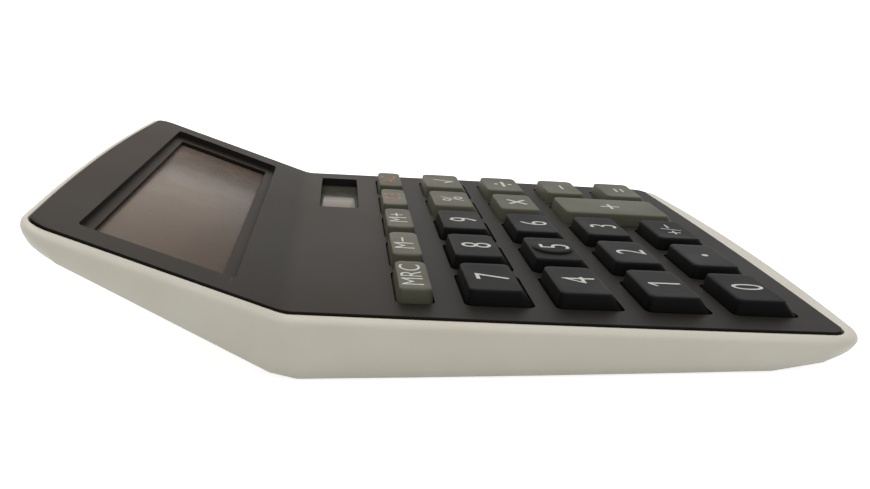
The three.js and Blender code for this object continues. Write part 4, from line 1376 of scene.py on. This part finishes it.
def bar_row(name: str, row: RowOfBars, material: Material) -> Piece:
    """Makes a row of bars with a geometry node tree and turns it into a plain mesh.

    Args:
        name: the object's name.
        row: the count, the step, the size and the start of the bars.
        material: the bars' material.

    Returns:
        The new object.
    """
    tree = bpy.data.node_groups.new(name, "GeometryNodeTree")
    tree.interface.new_socket("Geometry", in_out="OUTPUT", socket_type="NodeSocketGeometry")
    given = {"Count": row.count, "Step": row.step, "Bar Size": row.size, "Start": row.start}
    keys = {}
    for label, value in given.items():
        kind = "NodeSocketInt" if isinstance(value, int) else "NodeSocketVector"
        keys[label] = tree.interface.new_socket(label, in_out="INPUT", socket_type=kind).identifier
    graph = NodeGraph(tree)
    sizes = graph.add("NodeGroupInput").outputs
    line = graph.add("GeometryNodeMeshLine", {
        "Count": sizes["Count"], "Start Location": sizes["Start"], "Offset": sizes["Step"]})
    bar = graph.add("GeometryNodeMeshCube", {"Size": sizes["Bar Size"]})
    spread = graph.add("GeometryNodeInstanceOnPoints", {
        "Points": line.outputs["Mesh"], "Instance": bar.outputs["Mesh"]})
    real = graph.add("GeometryNodeRealizeInstances", {"Geometry": spread.outputs["Instances"]})
    dressed = graph.add("GeometryNodeSetMaterial", {
        "Geometry": real.outputs["Geometry"], "Material": material})
    graph.add("NodeGroupOutput", {0: dressed.outputs["Geometry"]})
    piece = new_object(name, bpy.data.meshes.new(name))
    modifier = piece.modifiers.new("row", "NODES")
    modifier.node_group = tree
    for label, value in given.items():
        modifier[keys[label]] = value
    return baked(piece)


class KeyColour(Enum):
    """The two colours of plastic that the keys are moulded in."""

    BLACK = "black_key"
    OLIVE = "olive_key"


@dataclass(frozen=True)
class KeyForm:
    """A key's own sizes above the panel, in millimetres.

    Attributes:
        rise: height of its top.
        half: half of its top's length.
        width: its top's width.
        rear_flare: how far its rear wall leans out.
        front_flare: how far its front wall leans out.
        extra: how much further a tall key reaches to the front.
    """

    rise: float
    half: float
    width: float
    rear_flare: float
    front_flare: float
    extra: float


@dataclass(frozen=True)
class Key:
    """One key: its name, place, legend and colour."""

    name: str
    legend: str
    row: int
    column: int
    colour: KeyColour
    tall: bool = False
    pad: bool = False
    orange: bool = False

    @property
    def memory(self) -> bool:
        """Whether the key is in the low memory row."""
        return self.row < 0

    def form(self, s: Sizes) -> KeyForm:
        """The key's own sizes.

        Args:
            s: the calculator's sizes.

        Returns:
            The sizes above the panel.
        """
        if self.memory:
            width = s.base_width - 2 * s.memory_flare
            return KeyForm(s.memory_rise, s.memory_length / 2, width, s.memory_flare, s.memory_flare, 0)
        return KeyForm(s.key_rise, s.key_top_length / 2, s.key_top_width, s.key_rear_flare,
                       s.key_front_flare, s.row_pitch if self.tall else 0)

    def place(self, s: Sizes) -> Spot:
        """Middle of the key on the keypad plane."""
        y = s.memory_y if self.memory else s.first_row_y - self.row * s.row_pitch
        return s.column_x(self.column), y


def all_keys() -> list[Key]:
    """The 24 keys, row by row from the rear.

    Returns:
        The keys.
    """
    rows = [
        [("mrc", "MRC"), ("m_minus", "M−"), ("m_plus", "M+"), ("clear_entry", "CE"),
         ("all_clear", "AC")],
        [("7", "7"), ("8", "8"), ("9", "9"), ("percent", "%"), ("root", "√")],
        [("4", "4"), ("5", "5"), ("6", "6"), ("multiply", "×"), ("divide", "÷")],
        [("1", "1"), ("2", "2"), ("3", "3"), ("plus", "+"), ("minus", "−")],
        [("0", "0"), ("point", "."), ("sign", "+/−"), None, ("equals", "=")],
    ]
    black = set("0123456789") | {"point", "sign"}
    keys = []
    for row, entries in enumerate(rows, -1):
        for column, entry in enumerate(entries):
            if entry:
                name, legend = entry
                colour = KeyColour.BLACK if name in black else KeyColour.OLIVE
                keys.append(Key(name, legend, row, column, colour, tall=name == "plus", pad=name == "5",
                                orange=name in ("clear_entry", "all_clear")))
    return keys


@dataclass
class Keypad:
    """The keys and their printed legends.

    Attributes:
        dish: depth of the hollow in a key's top.
        dish_rows: shares of the way from the edge inwards, each with its share of the depth.
        pad_root: how far the round pad reaches down into its key.
        pad_profile: how far the pad's rings are drawn in, each with its share of the pad's height.
        flag: corners of the slanted stroke of the figure one, from the head of its stem.
        legend_sizes: height of each legend and its width's share of the font's.
    """

    sizes: Sizes
    finishes: Finishes
    dish: float = 0.05
    dish_rows: tuple[Spot, ...] = ((1.0, 0.0), (0.85, 0.35), (0.5, 0.8), (0.15, 1.0), (0.0, 1.0))
    least_corner: float = 0.1
    shading_angle: float = 40
    pad_root: float = 0.4
    pad_profile: tuple[Spot, ...] = ((0, 0.3), (0.12, 0.75), (0.35, 1), (0.8, 1))
    pad_steps: int = 64
    ink_thick: float = 0.03
    edge_steps: int = 4
    legend_thinning: float = -0.008
    legend_steps: int = 6
    legend_lag: float = -0.3
    memory_lag: float = 0.3
    flag: tuple[Spot, ...] = ((0, 0), (-1.1, -0.85), (-1.1, -1.4), (0, -0.62))
    figure_size: Spot = (5.3, 0.87)
    legend_sizes: dict[str, Spot] = field(default_factory=lambda: {
        "MRC": (3.4, 1.05), "M−": (3.4, 1.1), "M+": (3.4, 1.1), "CE": (3.2, 1.1), "AC": (3.2, 1.1),
        ".": (1.2, 1.0), "−": (0.55, 1.0), "=": (2.0, 1.0), "+": (4.2, 1.0), "×": (4.2, 1.0),
        "÷": (4.2, 1.0), "+/−": (3.8, 1.0), "%": (4.6, 1.0), "√": (4.6, 1.0),
    })

    def cap(self, key: Key) -> Piece:
        """One key cap with soft edges and a faintly dished top.

        Args:
            key: the key.

        Returns:
            The cap.
        """
        s = self.sizes
        form = key.form(s)
        front_top = form.half + form.extra
        rear = form.half + form.rear_flare
        front = front_top + form.front_flare
        wide = s.base_width + 2 * (s.key_gap + s.column_rib * s.flange_side_share)
        flange_end = s.key_gap + s.row_rib * s.flange_end_share
        flange_top = -s.panel_thick - s.seat_gap
        rings = [round_ring(wide, rear + flange_end, front + flange_end, s.key_corner, z)
                 for z in (flange_top - s.flange_thick, flange_top)]
        rings += [round_ring(s.base_width, rear, front, s.key_corner, z) for z in (flange_top, 0)]
        edge = s.key_edge
        for i in range(self.edge_steps + 1):
            turn = math.pi / 2 * i / self.edge_steps
            inset = edge * (1 - math.cos(turn))
            z = form.rise - edge + edge * math.sin(turn)
            rings.append(round_ring(form.width - 2 * inset, form.half - inset, front_top - inset,
                                    s.key_corner - inset / 2, z))
        for share, drop in self.dish_rows[1:-1]:
            inset_x = (form.width / 2 - edge) * (1 - share)
            inset_y = (form.half - edge) * (1 - share)
            corner = max(s.key_corner * share, self.least_corner)
            rings.append(round_ring(form.width - 2 * edge - 2 * inset_x, form.half - edge - inset_y,
                                    front_top - edge - inset_y, corner, form.rise - self.dish * drop))
        place, plane = key.place(s), s.keypad_matrix()
        cap = loft(f"cap_{key.name}", shifted(rings, place), place=plane)
        if key.pad:
            pad = [circle_ring(s.pad_radius, form.rise - self.pad_root, self.pad_steps)]
            for inset, share in self.pad_profile:
                z = form.rise + s.pad_height * share
                pad.append(circle_ring(s.pad_radius - inset, z, self.pad_steps))
            boolean(cap, loft("pad", shifted(pad, place), place=plane), Join.ADD)
        return smooth(cap, self.shading_angle)

    def top_height(self, key: Key, x: float, y: float) -> float:
        """Height of a key's top at a place measured from the key's middle.

        Args:
            key: the key.
            x: across the key.
            y: towards the rear.

        Returns:
            The height above the keypad plane.
        """
        s = self.sizes
        form = key.form(s)
        if key.pad:
            return form.rise + s.pad_height
        reach_x, reach_y = form.width / 2 - s.key_edge, form.half - s.key_edge
        share = min(max(abs(x) / reach_x, y / reach_y, (-y - form.extra) / reach_y, 0), 1)
        for (outer, high), (inner, low) in zip(self.dish_rows, self.dish_rows[1:]):
            if share >= inner:
                part = (outer - share) / (outer - inner)
                return form.rise - self.dish * (high + (low - high) * part)
        return form.rise - self.dish

    def legend(self, key: Key) -> Piece:
        """The legend printed on a key.

        Args:
            key: the key.

        Returns:
            The legend as a thin mesh.
        """
        s = self.sizes
        curve = bpy.data.curves.new(f"legend_{key.name}", "FONT")
        curve.body = key.legend
        curve.align_x = "CENTER"
        curve.align_y = "CENTER"
        curve.offset = self.legend_thinning
        curve.resolution_u = self.legend_steps
        curve.extrude = self.ink_thick / 2
        text = new_object(curve.name, curve)
        bpy.context.view_layer.update()
        graph = bpy.context.evaluated_depsgraph_get()
        mesh = bpy.data.meshes.new_from_object(text.evaluated_get(graph))
        bpy.data.objects.remove(text)
        xs = [v.co.x for v in mesh.vertices]
        ys = [v.co.y for v in mesh.vertices]
        height, stretch = self.legend_sizes.get(key.legend, self.figure_size)
        scale = height / (max(ys) - min(ys))
        middle = Matrix.Translation((-(min(xs) + max(xs)) / 2, -(min(ys) + max(ys)) / 2, 0))
        lag = self.memory_lag if key.memory else self.legend_lag
        shift = -s.row_pitch / 2 if key.tall else lag
        size = Matrix.Diagonal((scale * stretch, scale, 1, 1))
        mesh.transform(Matrix.Translation((0, shift, 0)) @ size @ middle)
        if key.legend == "1":
            self.add_flag(mesh)
        for vertex in mesh.vertices:
            x, y, z = vertex.co
            vertex.co.z = self.top_height(key, x, y) + z + self.ink_thick / 3
        place = Matrix.Translation((*key.place(s), 0))
        mesh.transform(Matrix.Scale(MM, 4) @ s.keypad_matrix() @ place)
        return new_object(f"legend_{key.name}", mesh)

    def add_flag(self, mesh: bpy.types.Mesh) -> None:
        """Adds the slanted stroke at the head of the figure one, in millimetres.

        Args:
            mesh: the figure's mesh.
        """
        left = min(v.co.x for v in mesh.vertices)
        head = max(v.co.y for v in mesh.vertices)
        store = bmesh.new()
        store.from_mesh(mesh)
        low, high = [[store.verts.new((left + x, head + y, z)) for x, y in self.flag]
                     for z in (-self.ink_thick / 2, self.ink_thick / 2)]
        store.faces.new(low[::-1])
        store.faces.new(high)
        for i in range(len(low)):
            store.faces.new((low[i - 1], low[i], high[i], high[i - 1]))
        store.to_mesh(mesh)
        store.free()

    def build(self) -> None:
        """Makes every key with its legend."""
        for key in all_keys():
            body, slot = f"key_{key.name}", key.colour.value
            settle(self.cap(key), getattr(self.finishes, slot), body, slot, body)
            ink = self.finishes.orange_ink if key.orange else self.finishes.white_ink
            settle(self.legend(key), ink, body, slot)


@dataclass
class FacePanel:
    """The bent dark panel with its key wells, display recess and solar opening.

    Attributes:
        edge: rounding of its edges.
        proud: how far it stands above the rim.
        fold_reach: half of the length over which it bends.
        shelf_over: how far the display's shelf reaches beyond the recess.
        overrun: how far a cutter reaches past the surface that it opens.
    """

    sizes: Sizes
    finishes: Finishes
    edge: float = 0.22
    edge_steps: int = 3
    proud: float = 0.4
    fold_reach: float = 1.3
    fold_steps: int = 4
    shelf_over: float = 0.9
    window_corner: float = 0.5
    overrun: float = 2.0
    depth_overrun: float = 1.0

    def plate(self) -> Piece:
        """The plain plate, softly bent.

        Returns:
            The plate before its openings are cut.
        """
        s = self.sizes
        fold = s.beta - s.alpha
        flat = SideLine(0, 0, 0)
        raised = SideLine(0, 0, fold)
        outline = PlanOutline(s.panel_half, s.panel_front_y, s.panel_rear_u * math.cos(fold),
                              s.panel_front_radius, s.panel_rear_radius, s.panel_front_bow,
                              s.panel_rear_bow)
        reach, steps = self.fold_reach, self.fold_steps
        rings = []
        for lift in (-s.panel_thick, self.proud):
            bend = flat.crossing(raised, lift)
            stations = [s.last_row_y, (s.last_row_y + s.first_row_y) / 2, s.first_row_y]
            stations += [bend + reach * k / steps for k in range(-steps, steps + 1)]
            stations.append(s.display_front_margin)
            half = []
            for x, y in outline.half_points(stations):
                z = max(flat.height(y, lift), raised.height(y, lift))
                if abs(y - bend) < reach:
                    share = (y - bend + reach) / (2 * reach)
                    z = flat.height(bend, lift) + raised.tilt * reach * share ** 2
                case_y = s.bend_y + y * math.cos(s.alpha) - z * math.sin(s.alpha)
                half.append((s.barrelled(x, case_y), y, z))
            rings.append(whole_ring(half))
        return loft("face_panel", rings, mirrored=True, place=s.keypad_matrix())

    def wells(self) -> Piece:
        """Cutter for all key wells, whose front walls follow the slope of the keys above the rim.

        Returns:
            The cutter.
        """
        s = self.sizes
        cutters = []
        for key in all_keys():
            form = key.form(s)
            rear = form.half + form.rear_flare + s.key_gap
            front = form.half + form.extra + form.front_flare + s.key_gap
            slope = form.front_flare * self.proud / form.rise
            low = -s.panel_thick - self.overrun
            levels = [(low, 0), (0, 0), (self.proud, slope), (self.overrun, slope)]
            rings = [round_ring(s.base_width + 2 * s.key_gap, rear, front - inset, s.key_corner, z)
                     for z, inset in levels]
            cutters.append(loft("well", shifted(rings, key.place(s)), place=s.keypad_matrix()))
        return merged("wells", cutters)

    def build(self) -> None:
        """Makes the panel and its openings."""
        s = self.sizes
        keypad, display = s.keypad_matrix(), s.display_matrix()
        over, top, deep = self.shelf_over, self.overrun, self.depth_overrun
        shelf = s.display_recess + s.shelf_thick
        start = s.display_front_margin
        low = (-s.recess_half - over, start - over, -shelf)
        high = (s.recess_half + over, start + s.recess_length + over, -s.panel_thick / 2)
        panel = boolean(self.plate(), block("under", low, high, display), Join.ADD)
        cutters = [
            pocket("recess", (2 * s.recess_half, s.recess_length), s.display_corner,
                   (-s.display_recess, top), (0, start + s.recess_length / 2), display),
            pocket("window", (2 * s.window_half, s.window_length), self.window_corner,
                   (-shelf - deep, top), (0, start + s.shelf_front + s.window_length / 2), display),
            pocket("solar", (s.solar_width, s.solar_length), s.solar_corner,
                   (-s.panel_thick - deep, top), s.solar_middle, keypad),
            self.wells(),
        ]
        for cutter in cutters:
            panel = boolean(panel, cutter, Join.CUT)
        rounded(panel, self.edge, self.edge_steps)
        even(smooth(panel))
        settle(panel, self.finishes.dark, "case", "dark_panel", "top_panel")


@dataclass
class DisplayCell:
    """The liquid crystal cell behind the window: two glasses, one with a ledge for the contacts."""

    sizes: Sizes
    finishes: Finishes
    ledge: float = 2.5
    glass: float = 0.6
    edge: float = 0.08

    def build(self) -> None:
        """Makes the two glasses."""
        s = self.sizes
        display = s.display_matrix()
        top = s.display_recess + s.shelf_thick + s.thin_gap
        front = s.display_front_margin + s.shelf_front - s.cell_overlap - self.ledge / 2
        rear = s.display_front_margin + s.shelf_front + s.window_length + s.cell_overlap
        half = s.window_half + s.cell_overlap
        upper = block("display_glass", (-half, front, -top - self.glass), (half, rear, -top), display)
        lower = block("lower", (-half, front + self.ledge, -top - 2 * self.glass),
                      (half, rear, -top - self.glass / 2), display)
        cell = rounded(boolean(upper, lower, Join.ADD), self.edge)
        settle(smooth(cell), self.finishes.display, "case", "display_glass", "display_cell")


@dataclass
class SolarUnit:
    """The smoked pane and the solar cell under it, with silver lines between the cell's strips."""

    sizes: Sizes
    finishes: Finishes
    overlap: float = 0.7
    pane: float = 0.8
    pane_edge: float = 0.1
    cell: float = 1.0
    cell_edge: float = 0.08
    strips: int = 4
    line_width: float = 0.35
    line_thick: float = 0.03
    line_margin: float = 0.6

    def layer(self, name: str, top: float, thick: float, edge: float) -> Piece:
        """A rounded plate under the opening.

        Args:
            name: the object's name.
            top: depth of its upper face below the panel's surface.
            thick: its thickness.
            edge: the rounding of its edges.

        Returns:
            The plate.
        """
        s = self.sizes
        x, y = s.solar_middle
        half_x, half_y = s.solar_width / 2 + self.overlap, s.solar_length / 2 + self.overlap
        low, high = (x - half_x, y - half_y, -top - thick), (x + half_x, y + half_y, -top)
        return smooth(rounded(block(name, low, high, s.keypad_matrix()), edge))

    def build(self) -> None:
        """Makes the pane, the cell and the silver lines between its strips."""
        s = self.sizes
        top = s.panel_thick + s.thin_gap
        pane = self.layer("solar_pane", top, self.pane, self.pane_edge)
        settle(pane, self.finishes.pane, "case", "solar_pane", "solar_window")
        cell_top = top + self.pane + s.thin_gap
        cell = self.layer("solar_layers", cell_top, self.cell, self.cell_edge)
        settle(cell, self.finishes.solar, "case", "solar_glass", "solar_cell")
        half_x, half_y = s.solar_width / 2 + self.overlap, s.solar_length / 2 + self.overlap
        pitch = 2 * half_x / self.strips
        length = 2 * half_y - 2 * self.line_margin
        size = (self.line_width * MM, length * MM, self.line_thick * MM)
        row = RowOfBars(self.strips - 1, (pitch * MM, 0, 0), size, ((-half_x + pitch) * MM, 0, 0))
        lines = bar_row("solar_lines", row, self.finishes.silver_line)
        place = s.keypad_matrix() @ Matrix.Translation((*s.solar_middle, -cell_top + self.line_thick))
        lines.data.transform(Matrix.Scale(MM, 4) @ place @ Matrix.Scale(1 / MM, 4))
        settle(lines, self.finishes.silver_line, "case", "solar_glass")


@dataclass
class Hardware:
    """Screws and feet.

    Attributes:
        head_profile: share of the head's radius and of its height, from the rounded top to the seat.
        crest: height of a screw's first thread above the seat.
        root: share of the shank's radius at the foot of the thread.
        tip: share of the shank's radius at the point.
        slot_half: half length and half width of the cross recess.
        slot_share: depth of the recess's floor as a share of the head's height.
        foot_profile: radius and height of a foot's rings.
    """

    sizes: Sizes
    finishes: Finishes
    head_profile: tuple[Spot, ...] = ((0.55, -1.0), (0.85, -0.8), (1, -0.45), (1, 0.0))
    head_height: float = 1.2
    shank_radius: float = 0.95
    length: float = 6.0
    threads: int = 9
    point: float = 1.0
    crest: float = 0.3
    root: float = 0.8
    tip: float = 0.2
    slot_half: Spot = (1.1, 0.22)
    slot_share: float = 0.45
    slot_overrun: float = 0.2
    hair: float = 0.01
    foot_profile: tuple[Spot, ...] = ((3.6, 0.0), (3.85, 0.1), (4.0, 0.3), (4.0, 0.85))
    foot_steps: int = 56
    shading_angle: float = 35

    def screw(self, name: str, place: Spot) -> Piece:
        """One pan-head screw with a cross recess, head down.

        Args:
            name: the object's name.
            place: its middle on the keypad plane.

        Returns:
            The screw.
        """
        s = self.sizes
        rings = [circle_ring(s.screw_head_radius * share, z * self.head_height)
                 for share, z in self.head_profile]
        rings.append(circle_ring(self.shank_radius, 0.0))
        pitch = (self.length - self.point) / self.threads
        for i in range(self.threads):
            z = self.crest + pitch * i
            rings.append(circle_ring(self.shank_radius * self.root, z))
            rings.append(circle_ring(self.shank_radius, z + pitch / 2))
        rings.append(circle_ring(self.shank_radius * self.tip, self.length))
        base = s.keypad_matrix() @ Matrix.Translation((*place, -s.screw_seat_depth - s.thin_gap))
        screw = loft(name, rings, place=base)
        deep = -self.head_height - self.slot_overrun
        long, wide = self.slot_half
        for x, y, extra in ((long, wide, 0), (wide, long, self.hair)):
            floor = -self.head_height * self.slot_share + extra
            screw = boolean(screw, block("slot", (-x, -y, deep), (x, y, floor), base), Join.CUT)
        return smooth(screw, self.shading_angle)

    def build(self) -> None:
        """Makes the screws and the feet."""
        s = self.sizes
        for side, place in zip(("rear_left", "rear_right", "middle"), s.screw_places):
            name = f"case_screw_{side}"
            settle(self.screw(f"{name}_fine", place), self.finishes.zinc, "case", "screw_steel", name)
        for side, place in zip(("front_left", "front_right", "rear_left", "rear_right"), s.foot_places):
            name = f"foot_{side}"
            rings = [circle_ring(radius, z, self.foot_steps) for radius, z in self.foot_profile]
            foot = smooth(loft(f"{name}_fine", shifted(rings, place)))
            settle(foot, self.finishes.rubber, "case", "foot_rubber", name)


def dress_inside(finishes: Finishes) -> None:
    """Gives the inner pieces that stay as constructed their finishes.

    Args:
        finishes: the calculator's materials.
    """
    looks = {
        "keypad_sheet": finishes.sheet, "main_board": finishes.board, "chip_cover": finishes.epoxy,
        "capacitor": finishes.nickel, "regulator_diode": finishes.diode, "display_ribbon": finishes.film,
        "button_cell": finishes.nickel,
        "contact_minus": finishes.bronze, "contact_plus": finishes.bronze,
        "battery_wire_minus": finishes.black_wire, "battery_wire_plus": finishes.red_wire,
        "solar_wire_minus": finishes.black_wire, "solar_wire_plus": finishes.red_wire,
    }
    for name, material in looks.items():
        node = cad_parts[name]
        node.data.materials.clear()
        node.data.materials.append(material)
        log.info("%s: %s", name, material.name)


@dataclass
class Studio:
    """The camera, the floor and the lights.

    Attributes:
        lamps: name, place, size, power and colour of each lamp.
        surround: strength of the white surround as the object receives it.
        backdrop: strength of the white surround as it is seen.
    """

    focal: float = 37.586
    sensor: float = 36.0
    near_clip: float = 0.01
    eye: Point = (-0.17023, 0.01766, 0.05562)
    right: Point = (-0.09692, -0.99507, 0.02094)
    forward: Point = (0.95664, -0.09895, -0.27396)
    floor_reach: float = 6.0
    paper: tuple[float, ...] = (0.86, 0.86, 0.86, 1)
    paper_glow: float = 0.8
    surround: float = 0.3
    backdrop: float = 1.0
    lamps: tuple[tuple[str, Point, float, float, Point], ...] = (
        ("lamp_top", (0.05, 0.25, 0.95), 0.9, 5.2, (1, 1, 1)),
        ("lamp_left", (-0.6, -0.15, 0.65), 0.8, 2.1, (1, 1, 1)),
        ("lamp_warm", (0.5, 0.1, 0.27), 0.3, 0.2, (1, 0.7, 0.48)),
    )

    def camera(self) -> None:
        """Places the camera at the photograph's viewing angle."""
        data = bpy.data.cameras.new("camera")
        data.lens = self.focal
        data.sensor_width = self.sensor
        data.sensor_fit = "HORIZONTAL"
        data.clip_start = self.near_clip
        camera = new_object("camera", data)
        right = Vector(self.right).normalized()
        forward = Vector(self.forward).normalized()
        up = right.cross(forward).normalized()
        turn = Matrix((right, up, -forward)).transposed().to_4x4()
        camera.matrix_world = Matrix.Translation(self.eye) @ turn
        bpy.context.scene.camera = camera

    def floor(self) -> None:
        """A plain pale floor that keeps the object's shadow."""
        mesh = bpy.data.meshes.new("floor")
        reach = self.floor_reach
        corners = [(-reach, -reach, 0), (reach, -reach, 0), (reach, reach, 0), (-reach, reach, 0)]
        mesh.from_pydata(corners, [], [(0, 1, 2, 3)])
        floor = new_object("floor", mesh)
        material = bpy.data.materials.new("paper_white")
        material.use_nodes = True
        graph = NodeGraph(material.node_tree)
        paper = graph.add("ShaderNodeBsdfDiffuse", {"Color": self.paper})
        power = {0: graph.background_rays(), 1: self.paper_glow}
        seen = graph.add("ShaderNodeMath", power, operation="MULTIPLY")
        glow = graph.add("ShaderNodeEmission", {"Color": WHITE, "Strength": seen.outputs[0]})
        both = graph.add("ShaderNodeAddShader", {0: paper.outputs[0], 1: glow.outputs[0]})
        graph.add("ShaderNodeOutputMaterial", {"Surface": both.outputs[0]})
        floor.data.materials.append(material)

    def surroundings(self) -> None:
        """A soft white surround that shows as plain white."""
        world = bpy.data.worlds.new("surround")
        bpy.context.scene.world = world
        world.use_nodes = True
        graph = NodeGraph(world.node_tree)
        soft, white = [graph.add("ShaderNodeBackground", {"Color": WHITE, "Strength": power}).outputs[0]
                       for power in (self.surround, self.backdrop)]
        share = graph.add("ShaderNodeMixShader", {0: graph.background_rays(), 1: soft, 2: white})
        graph.add("ShaderNodeOutputWorld", {"Surface": share.outputs[0]})

    def lights(self) -> None:
        """Square soft lamps, all aimed at the origin."""
        for name, place, size, power, colour in self.lamps:
            lamp = bpy.data.lights.new(name, "AREA")
            lamp.shape = "SQUARE"
            lamp.size = size
            lamp.energy = power
            lamp.color = colour
            aim = (-Vector(place)).to_track_quat("-Z", "Y")
            new_object(name, lamp).matrix_world = Matrix.Translation(place) @ aim.to_matrix().to_4x4()

    def build(self) -> None:
        """Sets the stage."""
        self.camera()
        self.floor()
        self.surroundings()
        self.lights()
        bpy.context.scene.view_settings.view_transform = "Standard"


def main() -> None:
    """Builds the calculator and its stage, piece by piece."""
    sizes = Sizes()
    Studio().build()
    finishes = Finishes()
    shell = CaseShell(sizes, finishes)
    shell.build()
    shell.build_door()
    FacePanel(sizes, finishes).build()
    Keypad(sizes, finishes).build()
    DisplayCell(sizes, finishes).build()
    SolarUnit(sizes, finishes).build()
    Hardware(sizes, finishes).build()
    dress_inside(finishes)


if __name__ == "__main__":
    main()
